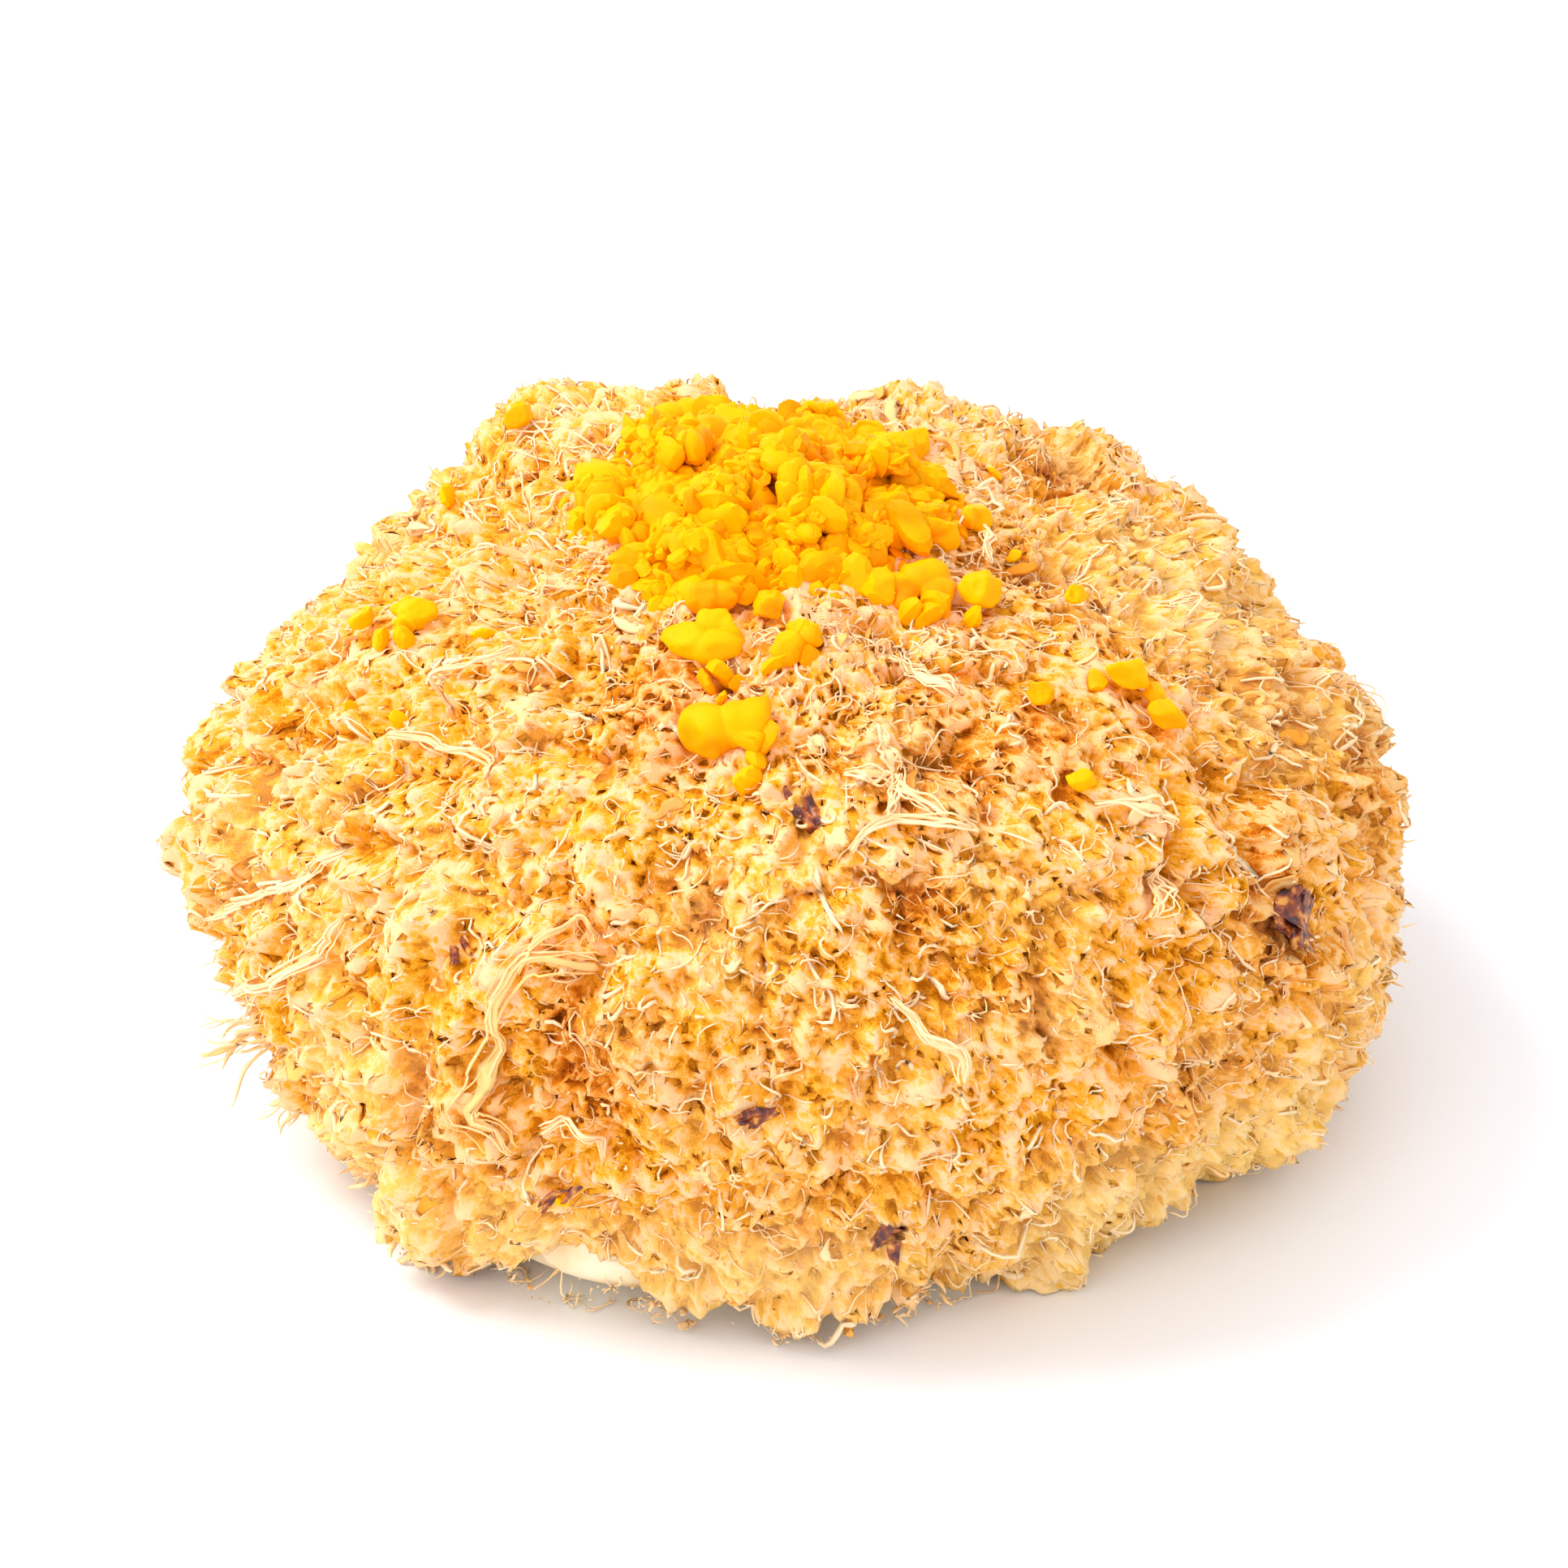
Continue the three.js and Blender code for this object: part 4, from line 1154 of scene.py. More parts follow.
def make_long_strands():
    """Long strands and torn membranes. Each is a bundle along one smooth line over the coat: a thin
    flat membrane and, beside it, finer fibres that stray from the line, cross and fray."""
    rng = np.random.default_rng(450)
    steps, strays = 30, 5
    lines = np.stack([eased(knots, steps) for knots in LONG_STRANDS.values()])
    lines = np.repeat(lines, 1 + strays, axis=0)
    n = len(lines)
    loose = np.arange(n) % (1 + strays) > 0
    width = np.maximum(lines[..., 3], 0.08) * MM
    foot, _, _, out = coat_axes(lines[..., 0], lines[..., 1])
    along = unit(np.gradient(foot, axis=1))
    side = np.cross(out, along)
    s = np.linspace(0, 1, steps)[None]
    sway = rng.uniform(-1, 1, (n, 1))
    sway = sway + 0.7 * np.sin(s * rng.uniform(4, 11, (n, 1)) + rng.uniform(0, 6, (n, 1)))
    sway = np.where(loose[:, None], sway * (width + 0.12 * MM), 0)
    lift = lines[..., 2] * MM + np.where(loose[:, None], rng.uniform(-0.1, 0.35, (n, 1)) * MM, 0)
    paths = over_coat(foot + side * sway[..., None], lift)
    paths = paths + 0.2 * MM * noise_vector(paths, 1.6 * MM, 111)
    paths[..., 2] = np.maximum(paths[..., 2], 0.4 * MM)
    ragged = 1 + 0.45 * noise(paths, 0.9 * MM, 115)
    taper = np.sin(np.pi * (0.06 + 0.88 * s)) ** 0.5
    fine = rng.uniform(0.07, 0.15, (n, 1)) * MM * taper
    half_width = np.where(loose[:, None], fine, 0.75 * width * ragged * taper)
    half_thick = np.where(loose[:, None], 0.8 * fine, 0.05 * MM + 0.1 * half_width)
    reference = unit(paths - HEART) + 0.7 * noise_vector(paths, 3 * MM, 117)
    tone = np.where(loose, rng.uniform(0.65, 1.0, n), rng.uniform(0.5, 0.8, n))
    tone[: 2 * (1 + strays)] *= 0.6  # the first two are toasted
    new_tubes("long_strands", tone, paths, half_width, half_thick, 6, reference)


# Ragged tufts at the lower edge: bearing, slope, length in mm, spread in degrees, count.
TUFTS = [
    (201, -15, 7.0, 16, 26), (206, -19, 4.5, 22, 16), (219, -25, 3.5, 24, 20),
    (229, -27, 3.0, 30, 26), (256, -27, 1.4, 40, 16), (268, -28, 1.6, 50, 16),
    (283, -28, 2.0, 50, 30), (296, -27, 2.0, 50, 24), (330, -20, 2.0, 40, 24),
    (350, -12, 2.4, 40, 24), (30, -24, 2.4, 40, 24), (70, -27, 2.4, 40, 24),
    (110, -26, 2.4, 40, 24), (150, -24, 2.8, 40, 24), (180, -16, 2.6, 40, 24),
]


def make_tufts():
    """Tufts of fibres that hang off the coat low down: each leaves the coat outwards within its
    spread, sags, and curls a little."""
    rng = np.random.default_rng(500)
    rows = np.repeat(np.array(TUFTS, float), [t[4] for t in TUFTS], axis=0)
    n, steps = len(rows), 10
    bearing = rows[:, 0] + rng.normal(0, 1.6, n)
    slope = rows[:, 1] + rng.normal(0, 1.3, n)
    foot, round_it, _, out = coat_axes(bearing, slope)
    level_out = unit(out * np.array([1.0, 1.0, 0.0]))
    length = (rows[:, 2] * rng.uniform(0.35, 1.1, n) * MM)[:, None]
    aim = np.radians(rows[:, 3] * rng.normal(0, 0.6, n))[:, None]
    s = np.linspace(0, 1, steps)[None]
    bend = aim + rng.normal(0, 0.9, (n, 1)) * s + 0.5 * np.sin(s * 6 + rng.uniform(0, 6, (n, 1)))
    along = np.cumsum(np.cos(bend), 1) * length / steps - 0.8 * MM
    sideways = np.cumsum(np.sin(bend), 1) * length / steps
    drop = rng.uniform(-0.1, 0.5, (n, 1)) * length * s**1.5
    paths = foot[:, None] + along[..., None] * level_out[:, None]
    paths = paths + sideways[..., None] * round_it[:, None]
    paths[..., 2] = np.maximum(paths[..., 2] - drop, rng.uniform(0.2, 0.9, (n, 1)) * MM)
    taper = np.sin(np.pi * (0.12 + 0.84 * s)) ** 0.7
    thick = rng.gamma(8.0, 0.011, (n, 1)) * MM * taper
    wide = thick * rng.uniform(1.0, 3.0, (n, 1))
    reference = np.array([0, 0, 1.0]) + rng.normal(0, 0.6, (n, 1, 3))
    new_tubes("edge_tufts", rng.uniform(0.45, 1.0, n), paths, wide, thick, 4, reference)


# --- Yolk ----------------------------------------------------------------------------------------


def chipped(towards, radius, rng, flats, edge, least=0.55):
    """Radii of lumps, one row for each, after flats have cut them. Each flat faces a random way at
    least to 0.95 of how far the lump reaches there, and edge says how sharp the flats meet."""
    facing = unit(rng.normal(0, 1, (len(radius), flats, 3)))
    lean = np.maximum(np.einsum("pi,nki->npk", towards, facing), 0)
    reach = (lean * radius[..., None]).max(1) * rng.uniform(least, 0.95, (len(radius), flats))
    return (((lean / reach[:, None]) ** edge).sum(-1) + radius**-edge) ** (-1 / edge)


# The lobes of loose crumbs that aren't one plain chip: how far each lies from the crumb's middle,
# level, up the slope and out of the coat, and its radius, all in mm.
CRUMB_LOBES = {
    "yolk_crumb_01": [
        (-2.4, 0, 0, 1.1), (-0.8, 0.3, 0, 1.3), (1.0, 0.2, 0, 1.2), (2.6, -0.2, 0, 0.9),
    ],
    "yolk_crumb_03": [
        (0, 0.3, 0, 1.4), (-1.5, -0.5, 0, 0.75), (1.1, -0.9, 0, 0.95), (0.5, 1.2, 0, 1.0),
    ],
    "yolk_crumb_05": [(-0.5, -0.6, 0, 1.6), (0.8, 0.2, 0, 1.3), (1.1, 1.5, 0, 0.8)],
    "yolk_crumb_06": [
        (-3.0, -1.3, 0, 0.8), (-1.2, -1.2, 0, 1.9), (1.2, -1.2, 0, 2.0), (2.6, -0.4, 0, 1.2),
        (0.0, 1.4, 0.8, 1.5), (1.6, 1.2, 1.2, 1.2),
    ],
    "yolk_crumb_07": [
        (-1.2, 0.0, 0, 2.4), (-2.6, 1.0, 0, 1.4), (-0.8, -2.0, 0, 1.2), (0.7, 0.9, 0, 1.9),
        (2.0, 1.4, 0, 1.7), (3.1, 2.2, 0, 1.4), (3.3, -0.8, 0.3, 0.9),
    ],
    "yolk_crumb_08": [(-0.6, -0.8, 0, 1.4), (1.2, 0.4, 0, 1.0), (-0.2, 1.5, 0, 0.85)],
    "yolk_crumb_10": [(-1.8, 1.0, 0, 1.7), (1.2, 0.8, 0, 2.0), (0.6, -1.4, 0, 1.6)],
}
# How flat the crumbs of lobes lie on the coat, as a share of their round height.
FLATNESS = {"yolk_crumb_01": 0.45, "yolk_crumb_06": 0.6, "yolk_crumb_10": 0.75}
USUAL_FLATNESS = 0.9
LOOSE_SHARE, HEAP_SHARE = 1.05, 0.76  # of a crumb's own solid, in the radii of other crumbs
HEAP_SINK = 1.7 * MM  # how far the heap's crumbs lie in among the finer ones


def lobed(towards, lobes, flatten):
    """How far rays from a middle run before they last leave a group of balls, in metres: for each
    ball, its share along the ray plus the rest of the half chord. The third direction is flattened
    by stretching the rays before and shortening them after."""
    towards = towards / [1, 1, flatten]
    stretch = np.linalg.norm(towards, axis=1)
    towards = towards / stretch[:, None]
    reach = np.full(len(towards), 0.6)
    for *centre, radius in lobes:
        along = towards @ np.array(centre)
        chord = along**2 - np.dot(centre, centre) + radius**2
        reach = np.maximum(reach, np.where(chord > 0, along + np.sqrt(np.maximum(chord, 0)), 0))
    return reach / stretch * MM


def make_crumbs():
    """The large crumbs. Each is a group of lobes, or its own solid's radii round its middle, cut
    by a few flats. A loose one is set down on the coat. One in the heap is smaller than its solid
    and lies a little deeper, since finer chips cover it. Noise adds bites and pimples."""
    rng = np.random.default_rng(601)
    middles, halves = crumb_boxes()
    for index, name in enumerate(CRUMBS):
        middle, half = middles[index], halves[index]
        loose = index < LOOSE_COUNT
        towards, quads, tips = ball(48, 32) if loose else ball(32, 22)
        size = half.max()
        if loose:
            height = np.linalg.norm(middle - HEART) - coat_skin().at(*bearings_of(middle))
            middle = over_coat(middle, min(height, 0.7 * size, 1.1 * MM))
        _, *axes = coat_axes(*bearings_of(middle))
        if name in CRUMB_LOBES:
            flatten = FLATNESS.get(name, USUAL_FLATNESS)
            radius = lobed(towards @ np.stack(axes).T, CRUMB_LOBES[name], flatten)
            radius = chipped(towards, radius[None], rng, 14, 34, 0.7)[0]
        else:
            radius = outermost(name, towards, middle) * (LOOSE_SHARE if loose else HEAP_SHARE)
            radius = chipped(towards, radius[None], rng, 16, 40)[0]
        spot = towards * radius[:, None] + index * 0.05
        bite = smooth(0.3, 0.8, noise(spot, 0.7 * size, 83))
        lump = 0.1 * noise(spot, 0.5 * size, 81) + 0.06 * noise(spot, 0.2 * size, 82)
        points = middle + towards * (radius * (1 + lump - (0.1 if loose else 0.25) * bite))[:, None]
        if name in CRUMB_LOBES:
            points -= axes[2] * (1 - flatten) * 1.2 * MM
        elif not loose:
            points[:, 2] -= HEAP_SINK
        # Painted shade: bites, the hollows in a crumb, get a lower tone and so a deeper orange.
        shares = {"tone": np.clip(0.55 + 0.3 * np.cos(2.4 * index) - 0.4 * bite, 0, 1)}
        faces = [quads, tips]
        piece = new_piece(f"waxy_{name}", points, faces, yolk_material(), None, shares)
        if not loose:
            piece.data.set_sharp_from_angle(angle=np.radians(25))
        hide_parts(name)


def heap_middle():
    """The middle of the heap, and its radius: the large crumbs that lie highest."""
    middles, _ = crumb_boxes()
    heap = middles[LOOSE_COUNT:]
    centre = 0.5 * (heap.min(0) + heap.max(0))
    return centre + [-2.0 * MM, 0.6 * MM, 0], 0.5 * np.ptp(heap[:, :2], axis=0).mean() + 0.2 * MM


def heap_edge(angle):
    """The heap's outline: its radius, pushed in and out by slow waves round it."""
    _, radius = heap_middle()
    around = np.stack([np.cos(angle), np.sin(angle), 0 * angle], -1)
    front = 0.16 * np.maximum(-np.sin(angle), 0)
    slow, quick = noise(2.2 * around, 1.0, 121), noise(6 * around, 1.0, 122)
    return radius * (1 - front + 0.1 * slow + 0.06 * quick)


def coat_top(x, y):
    """The height of the coat's outside over (x, y) near its crown: the slope whose point lies at
    that distance from the upright axis is found by repeated small corrections."""
    bearing = np.degrees(np.arctan2(y, x))
    away = np.hypot(x, y)
    slope = np.degrees(np.arctan2(HIGH[2] - HEART[2] - 4 * MM, away))
    for _ in range(16):
        radius = coat_skin().at(bearing, slope)
        gap = radius * np.cos(np.radians(slope)) - away
        slope = np.clip(slope + 0.8 * np.degrees(gap / radius), 5, 89.95)
    return on_coat(bearing, slope)[..., 2]


def make_crumb_bed():
    """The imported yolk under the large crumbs: over its disc it rises from the coat, steeply at the
    edge and flat inside, broken into grains by cell noise of two sizes."""
    columns, rows = 300, 80
    centre, _ = heap_middle()
    share = np.linspace(0, 1, rows)[:, None]
    angle = np.arange(columns) * 2 * np.pi / columns
    reach = share * heap_edge(angle)
    x, y = centre[0] + reach * np.cos(angle), centre[1] + reach * np.sin(angle)
    flat = np.stack([x, y, 0 * x], -1)
    bent = flat + 0.5 * MM * noise_vector(flat, 1.5 * MM, 124)
    near, next_near, own = cells(bent, 2.6 * MM, 125)
    grain = smooth(0, 0.2, next_near - near) * (0.3 + 0.7 * own)
    near, next_near, own = cells(bent, 1.3 * MM, 131)
    small = smooth(0, 0.25, next_near - near) * (0.3 + 0.7 * own)
    rise = 2.5 * (1 - smooth(0.72, 1.0, share + 0 * x)) - 0.9
    height = rise + 0.9 * grain + 0.45 * small + 0.3 * noise(flat, 5 * MM, 137)
    points = np.stack([x, y, coat_top(x, y) + height * MM], -1)
    points[0] = points[0].mean(0)
    below = points.copy()
    below[..., 2] = coat_top(x, y) - 1.6 * MM
    middle = below[:1].mean(1, keepdims=True) + 0 * below[:1]
    points = np.concatenate([points, below[-1:], middle])
    # Painted shade: the tone falls in the clefts between grains, which turn deep orange.
    tone = np.clip(0.2 + 0.4 * grain + 0.2 * small, 0, 1)
    tone = np.concatenate([tone, tone[:2]])
    faces, uv = ring_faces(rows + 2, columns), ring_uv(rows + 2, columns)
    points, shares = points.reshape(-1, 3), {"tone": tone}
    piece = new_piece("crumb_bed", points, faces, yolk_material(), uv, shares)
    weld(piece)


def strewn_crumbs(rng, count, size, low, high):
    """Middles and radii of crumbs strewn over the heap. Each lies on the crumb bed or a large
    crumb, lifted by low to high times its radius."""
    centre, _ = heap_middle()
    angle = rng.uniform(0, 2 * np.pi, count)
    share = np.sqrt(rng.uniform(0, 1, count)) * rng.choice([1.0, 1.0, 1.0, 1.08], count)
    reach = share * heap_edge(angle)
    x, y = centre[0] + reach * np.cos(angle), centre[1] + reach * np.sin(angle)
    size = rng.gamma(8, size / 8, count).clip(0.5 * size, 2 * size)
    top = coat_top(x, y) + 0.7 * MM * (1 - smooth(0.75, 1.0, share))
    for middle, half in zip(*crumb_boxes(), strict=True):
        inside = 1 - ((x - middle[0]) / half[0]) ** 2 - ((y - middle[1]) / half[1]) ** 2
        cap = middle[2] - 2.6 * MM + half[2] * np.sqrt(np.maximum(inside, 0))
        top = np.where(inside > 0.1, np.maximum(top, cap), top)
    return np.stack([x, y, top + size * rng.uniform(low, high, count)], -1), size


def make_chips(name, rng, place, size, shape, flats):
    """One piece of many chipped lumps, each stretched and turned in its own way."""
    towards, quads, tips = ball(*shape)
    n, per = len(place), len(towards)
    round_ones = np.ones((n, per))
    stretch = rng.uniform([0.45, 0.8, 0.8], [0.8, 1.35, 1.25], (n, 1, 3))
    points = towards * chipped(towards, round_ones, rng, flats, 36)[..., None] * stretch
    spot = points + 7.3 * np.arange(n)[:, None, None]
    points = points * (1 + 0.16 * noise(spot, 0.8, 85) + 0.1 * noise(spot, 0.4, 86))[..., None]
    turn = np.linalg.qr(rng.normal(0, 1, (n, 3, 3)))[0]
    turn[:, :, 0] *= np.linalg.det(turn)[:, None]
    points = np.einsum("nij,npj->npi", turn, points) * size[:, None, None] + place[:, None]
    faces = [copies(quads, n, per), copies(tips, n, per)]
    shares = {"tone": np.repeat(rng.uniform(0.15, 1.0, n), per)}
    piece = new_piece(name, points.reshape(-1, 3), faces, yolk_material(), None, shares)
    piece.data.set_sharp_from_angle(angle=np.radians(32))


# Fine crumbs away from the heap: bearing, slope, radius in mm.
STRAY_CRUMBS = [
    (149, 29, 1.0), (358, 53, 0.8), (204, 38, 0.9), (204, 24, 0.7), (210, 26, 0.9),
    (250, 46, 1.1), (252, 48, 1.3), (254, 44, 0.9), (256, 47, 0.8), (247, -12, 0.9),
    (263, 35, 1.4), (264, 38, 1.5), (262, 32.5, 1.2), (192, 34, 1.3), (198, 32, 1.2),
    (196, 30, 1.2), (271, 55, 1.3), (266, 51, 1.5), (272, 51, 1.2), (315, 57, 1.4),
    (309, 56, 1.5), (305, 58, 1.3), (321, 36, 1.2), (326, 31, 1.3), (318, 52, 1.2), (90, 62, 1.4),
    (60, 58, 1.2), (100, 50, 1.0), (40, 48, 0.8), (135, 36, 0.9),
]


def make_fine_crumbs():
    """Fine crumbs in two sizes, strewn over the heap, and a few beyond it, a little sunk in the
    floss."""
    look = bpy.context.scene.floss_bun.yolk
    rng = np.random.default_rng(7)
    place, size = strewn_crumbs(rng, look.middling_count, look.middling_size, -0.6, 0.0)
    make_chips("middling_crumbs", rng, place, size, (13, 9), 9)
    place, size = strewn_crumbs(rng, look.fine_count, look.fine_size, -0.3, 0.3)
    strays = np.array(STRAY_CRUMBS)
    spot = on_coat(strays[:, 0], strays[:, 1], strays[:, 2] * MM * 0.5)
    place = np.concatenate([place, spot])
    size = np.concatenate([size, strays[:, 2] * MM])
    make_chips("fine_crumbs", rng, place, size, (8, 6), 7)


# --- Flakes and bun ------------------------------------------------------------------------------


def make_flakes():
    """Toasted flakes: each is a few thin leaves that lie crossed within its solid. A leaf is a ball
    flattened to a blade, x by length, y by width and z by thickness, with a ragged outline and
    bent so that z rises by the square of x and falls by the square of y."""
    towards, quads, tips = ball(28, 14)
    for index, name in enumerate(FLAKES):
        rng = np.random.default_rng(900 + index)
        low, high = (np.array(corner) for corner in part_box(name))
        middle, size = over_coat((low + high) / 2, 0.8 * MM), (high - low).max() / 2
        _, round_it, up_it, out = coat_axes(*bearings_of(middle))
        count = 9 if index == 0 else 3
        size *= 1.6 if index == 0 else 1.15
        leaves = []
        for leaf in range(count):
            half_length, half_width = size * rng.uniform(0.8, 1.2), size * rng.uniform(0.25, 0.45)
            ragged = 1 + 0.4 * noise(towards + 9.0 * leaf + 31.0 * index, 0.6, 93)
            x, y, z = (towards * ragged[:, None]).T
            bend = rng.uniform(0.1, 0.5) * x**2 * half_length
            bend = bend - rng.uniform(0.2, 0.8) * y**2 * half_width
            turn = 0.5 + 1.9 * index + rng.uniform(-0.45, 0.45)
            along = np.cos(turn) * round_it + np.sin(turn) * up_it
            across = np.cross(out, along) + rng.uniform(-0.6, 0.6) * out
            across /= np.linalg.norm(across)
            rise = np.cross(along, across)
            shift = size * (rng.uniform(-0.9, 0.9) * round_it + rng.uniform(-0.6, 0.6) * up_it)
            blade = x[:, None] * half_length * along + y[:, None] * half_width * across
            blade = blade + (z * 0.07 * MM + bend)[:, None] * rise
            leaves.append(middle + shift + out * 0.1 * MM * leaf + blade)
        points = np.concatenate(leaves)
        faces = [copies(quads, count, len(towards)), copies(tips, count, len(towards))]
        piece = new_piece(f"crisp_{name}", points, faces, flake_material())
        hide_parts(name)


# Where the dough bulges out from under the coat: bearing, slope, radius in mm, height in mm.
DOUGH_SWELLS = [(247.5, -24, 5.5, 2.2)]


def make_bun():
    """The bun's surface: its solid's radii over bearing and slope, held above the table, with soft
    wrinkles that fade out towards the base, and closed over its flat base."""
    skin = Skin("bun")
    columns, rows = 220, 80
    bearing, slope = np.meshgrid(
        np.arange(columns) * 360 / columns, np.linspace(90, DEEPEST_SLOPE, rows)
    )
    ray = direction(bearing, slope)
    drop = np.where(ray[..., 2] < 0, -HEART[2] / np.minimum(ray[..., 2], -1e-6), 1.0)
    swell = patches(HEART + ray * skin.at(bearing, slope)[..., None], DOUGH_SWELLS, skin) * MM
    radius = np.minimum(skin.at(bearing, slope) + swell, drop)
    under = coat_skin().at(bearing, slope) - 1.9 * MM
    hem = coat_skin().lowest(bearing)
    radius = radius - np.maximum(radius - under, 0) * smooth(hem - 2, hem + 2, slope)
    points = HEART + ray * radius[..., None]
    wrinkle = 0.2 * noise(points, 3.5 * MM, 141) + 0.08 * noise(points, 1.2 * MM, 142)
    points = points + ray * (wrinkle * MM * smooth(0, 3 * MM, points[..., 2]))[..., None]
    points[0] = points[0].mean(0)
    points[-1, :, 2] = 0
    centre = points[-1].mean(0)
    closing = [centre + (points[-1] - centre) * part for part in (0.66, 0.33, 0.0)]
    points = np.concatenate([points, np.stack(closing)])
    rows = len(points)
    faces, uv = ring_faces(rows, columns), ring_uv(rows, columns)
    piece = new_piece("baked_bun", points.reshape(-1, 3), faces, dough_material(), uv)
    weld(piece)
    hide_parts("bun")


# --- Stage ---------------------------------------------------------------------------------------


FLOOR_REACH = 2.0  # metres from the middle to the floor's edges
PICTURE_WIDTH = 1.2455  # of the camera's picture, as a share of the bun's width
AIM = np.array([-0.012, 0.013, 0.434])  # what the camera looks at, in shares of the bun's size
WINDOW, WINDOW_WIDTH = (-0.6, 0.1, 0.85), 0.6  # metres
REFLECTOR, REFLECTOR_WIDTH = (-0.5, -0.8, 0.45), 0.7  # metres


def look_at(place, aim):
    """The turn that points an object's -Z from place to aim, with +Y upwards."""
    return Vector(aim - place).to_track_quat("-Z", "Y").to_euler()


def make_stage():
    """A pale floor, a white surround, a large soft light high on the left and behind, a weaker one
    in front, and a camera in front that looks down."""
    look = bpy.context.scene.floss_bun.stage
    mesh = bpy.data.meshes.new("floor")
    corners = FLOOR_REACH * np.array([(-1, -1, 0), (1, -1, 0), (1, 1, 0), (-1, 1, 0)])
    mesh.from_pydata(corners.tolist(), [], [(0, 1, 2, 3)])
    material, _, shader, _ = new_material("white_paper_sweep", Roughness=0.7, IOR=1.45)
    shader.inputs["Base Color"].default_value = (*look.floor, 1)
    mesh.materials.append(material)
    floor = bpy.data.objects.new("floor", mesh)
    bpy.context.scene.collection.objects.link(floor)

    world = bpy.data.worlds.new("white_surround")
    world.use_nodes = True
    background = world.node_tree.nodes["Background"]
    background.inputs["Color"].default_value = (1, 1, 1, 1)
    background.inputs["Strength"].default_value = look.surround
    bpy.context.scene.world = world

    middle = AIM * [HIGH[0] - LOW[0], HIGH[1] - LOW[1], HIGH[2]]
    lamps = {
        "window": (WINDOW, WINDOW_WIDTH, look.key_power),
        "reflector": (REFLECTOR, REFLECTOR_WIDTH, look.fill_power),
    }
    for name, (place, width, power) in lamps.items():
        light = bpy.data.lights.new(name, "AREA")
        light.shape = "DISK"
        light.size = width
        light.energy = power
        lamp = bpy.data.objects.new(name, light)
        lamp.location = place
        lamp.rotation_euler = look_at(np.array(place), middle)
        bpy.context.scene.collection.objects.link(lamp)

    rise = look.camera_elevation
    place = middle + look.camera_distance * np.array([0, -np.cos(rise), np.sin(rise)])
    camera = bpy.data.cameras.new("camera")
    camera.sensor_width = 36.0
    camera.lens = camera.sensor_width * look.camera_distance / (PICTURE_WIDTH * (HIGH[0] - LOW[0]))
    camera.clip_start = 0.01
    viewer = bpy.data.objects.new("camera", camera)
    viewer.location = place
    viewer.rotation_euler = look_at(place, middle)
    bpy.context.scene.collection.objects.link(viewer)
    bpy.context.scene.camera = viewer
    bpy.context.scene.view_settings.view_transform = "Standard"


# --- Settings ------------------------------------------------------------------------------------


def size_property(name, description, default):
    """A length in metres."""
    told = {"name": name, "description": description, "default": default}
    return FloatProperty(**told, unit="LENGTH", precision=5)


def colour_property(name, description, code):
    """A linear colour, from its sRGB hex code."""
    told = {"name": name, "description": description, "default": linear(code)}
    return FloatVectorProperty(**told, size=3, subtype="COLOR", min=0, max=1)


class CoatSettings(PropertyGroup):
    """Sizes and colours of the floss coat."""

    puff_size: size_property("Puff size", "Width of the puffs that the coat bunches into", 4.6 * MM)
    puff_rise: size_property("Puff rise", "How far the puffs stand up", 1.5 * MM)
    inset: size_property("Inset", "How far the ridges lie inside the packed solid", 0.35 * MM)
    mat_depth: size_property("Mat depth", "How deep the cups of the under-mat hang", 0.65 * MM)
    mat_spacing: size_property("Mat spacing", "Distance between the under-mat's points", 0.45 * MM)
    lace_spacing: size_property("Lace spacing", "Distance between the lace's points", 0.305 * MM)
    pore_size: size_property("Pore size", "Width of the lace's coarse pores", 1.6 * MM)
    strand_thickness: size_property("Strand thickness", "Thickness of the lace's strands", 0.2 * MM)
    openness: FloatProperty(
        name="Openness", description="How much web the pores lack", default=0.35, min=-1, max=1
    )
    # The floss ramps lay these colours along the ridge share, so the darker ones are partly painted
    # shade in hollows, pits and creases.
    amber: colour_property("Amber", "Floss low in the coat", "#EAA01E")
    gold: colour_property("Gold", "Floss half way up", "#F4AA36")
    cream: colour_property("Cream", "Floss near the ridges", "#F9B75C")
    tip: colour_property("Tips", "Dry ridges and tips", "#FAC896")


class FibreSettings(PropertyGroup):
    """Sizes and colours of loose fibres."""

    half_width: size_property("Half width", "Half the width of a curled fibre", 0.062 * MM)
    curl_length: size_property("Curl length", "Length of a curled fibre", 4.2 * MM)
    shred_width: size_property("Shred width", "Half the width of the widest shreds", 0.6 * MM)
    tip: colour_property("Tips", "The palest fibres", "#FFE2B6")


class YolkSettings(PropertyGroup):
    """Sizes and colours of the yolk crumbs."""

    fine_count: IntProperty(
        name="Fine crumbs", description="How many fine crumbs lie on the heap", default=1100, min=0
    )
    fine_size: size_property("Fine size", "Radius of a fine crumb", 0.8 * MM)
    middling_count: IntProperty(
        name="Middling crumbs", description="How many somewhat larger ones", default=560, min=0
    )
    middling_size: size_property("Middling size", "Radius of a middling crumb", 1.25 * MM)
    # The deep colour also paints the shade in the bed's clefts and in the crumbs' bites.
    deep: colour_property("Deep yolk", "The yolk's orange parts", "#FF8400")
    bright: colour_property("Bright yolk", "The yolk's yellow parts", "#FFB400")


class DoughSettings(PropertyGroup):
    """Colours of the bun."""

    crust: colour_property("Crust", "Where the oven browned the dough", "#DDB070")
    pale: colour_property("Pale dough", "Where the dough stayed pale", "#FBF0DC")


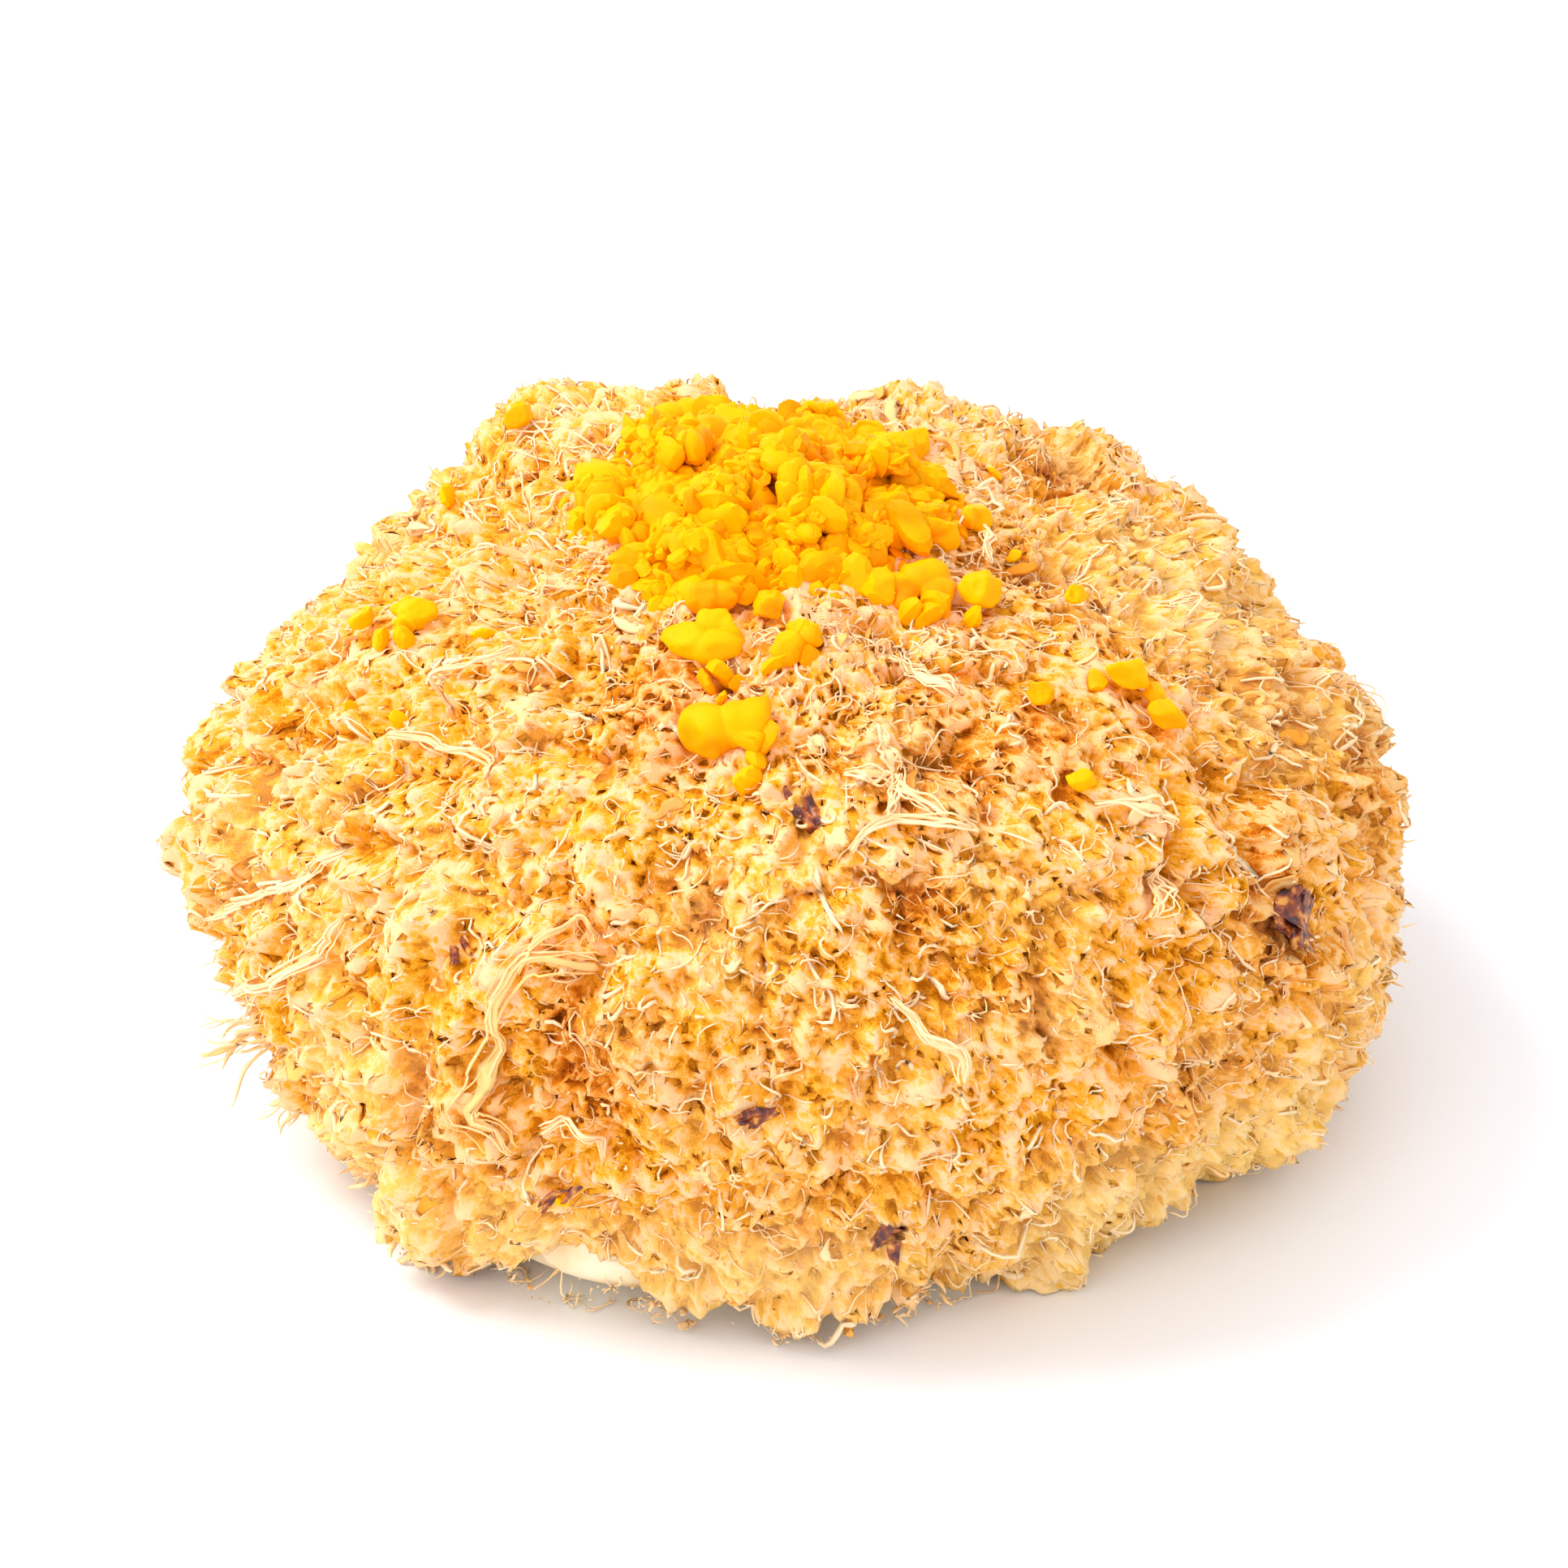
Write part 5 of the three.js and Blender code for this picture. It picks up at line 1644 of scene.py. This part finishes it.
class StageSettings(PropertyGroup):
    """Floor, lights and camera."""

    floor: colour_property("Floor", "Colour of the floor", "#F4F8FE")
    surround: FloatProperty(
        name="Surround", description="Strength of the white surround", default=1.12, min=0
    )
    key_power: FloatProperty(
        name="Window", description="Power of the soft key light", default=7.0, unit="POWER"
    )
    fill_power: FloatProperty(
        name="Reflector", description="Power of the front light", default=2.0, unit="POWER"
    )
    camera_elevation: FloatProperty(
        name="Camera elevation",
        description="The camera's angle above the floor",
        default=np.radians(30),
        subtype="ANGLE",
    )
    camera_distance: size_property("Camera distance", "From the camera to the bun", 0.6)


class FlossBunSettings(PropertyGroup):
    """All of the bun's settings."""

    coat: PointerProperty(type=CoatSettings, name="Coat", description="The floss coat")
    fibres: PointerProperty(type=FibreSettings, name="Fibres", description="Loose fibres")
    yolk: PointerProperty(type=YolkSettings, name="Yolk", description="Yolk crumbs")
    dough: PointerProperty(type=DoughSettings, name="Dough", description="The bun")
    stage: PointerProperty(type=StageSettings, name="Stage", description="Floor, lights and camera")


# --- Operators and panel -------------------------------------------------------------------------


class BuildStage(Operator):
    """Make the floor, lights and camera"""

    bl_idname = "floss_bun.stage"
    bl_label = "Stage"

    def execute(self, context):
        make_stage()
        return {"FINISHED"}


class BuildBun(Operator):
    """Make the baked bun under the coat"""

    bl_idname = "floss_bun.bun"
    bl_label = "Bun"

    def execute(self, context):
        make_bun()
        return {"FINISHED"}


class BuildCoat(Operator):
    """Make the oily under-mat and the pale lace over it"""

    bl_idname = "floss_bun.coat"
    bl_label = "Floss Coat"

    def execute(self, context):
        make_under_mat()
        make_lace()
        return {"FINISHED"}


class BuildFibres(Operator):
    """Make the loose fibres, shreds, strands and tufts"""

    bl_idname = "floss_bun.fibres"
    bl_label = "Loose Floss"

    def execute(self, context):
        make_all_fibres()
        make_shreds()
        make_long_strands()
        make_tufts()
        return {"FINISHED"}


class BuildCrumbs(Operator):
    """Make the yolk crumbs and the bed that they lie in"""

    bl_idname = "floss_bun.crumbs"
    bl_label = "Yolk Crumbs"

    def execute(self, context):
        make_crumb_bed()
        make_crumbs()
        make_fine_crumbs()
        return {"FINISHED"}


class BuildFlakes(Operator):
    """Make the toasted flakes"""

    bl_idname = "floss_bun.flakes"
    bl_label = "Toasted Flakes"

    def execute(self, context):
        make_flakes()
        return {"FINISHED"}


STEPS = (BuildStage, BuildBun, BuildCoat, BuildFibres, BuildCrumbs, BuildFlakes)


class FlossBunPanel(Panel):
    """Lists the steps that build the bun"""

    bl_idname = "VIEW3D_PT_floss_bun"
    bl_label = "Floss Bun"
    bl_space_type = "VIEW_3D"
    bl_region_type = "UI"
    bl_category = "Floss Bun"

    def draw(self, context):
        for step in STEPS:
            self.layout.operator(step.bl_idname)
        for part in ("coat", "fibres", "yolk", "dough", "stage"):
            box = self.layout.box()
            box.label(text=part.capitalize())
            settings = getattr(context.scene.floss_bun, part)
            for name in settings.__annotations__:
                box.prop(settings, name)


CLASSES = (
    CoatSettings,
    FibreSettings,
    YolkSettings,
    DoughSettings,
    StageSettings,
    FlossBunSettings,
    *STEPS,
    FlossBunPanel,
)


def register():
    for each in CLASSES:
        bpy.utils.register_class(each)
    bpy.types.Scene.floss_bun = PointerProperty(type=FlossBunSettings)


def unregister():
    del bpy.types.Scene.floss_bun
    for each in reversed(CLASSES):
        bpy.utils.unregister_class(each)


def main():
    """Builds the whole bun."""
    register()
    bpy.ops.floss_bun.stage()
    bpy.ops.floss_bun.bun()
    bpy.ops.floss_bun.coat()
    bpy.ops.floss_bun.fibres()
    bpy.ops.floss_bun.crumbs()
    bpy.ops.floss_bun.flakes()


if __name__ == "__main__":
    main()
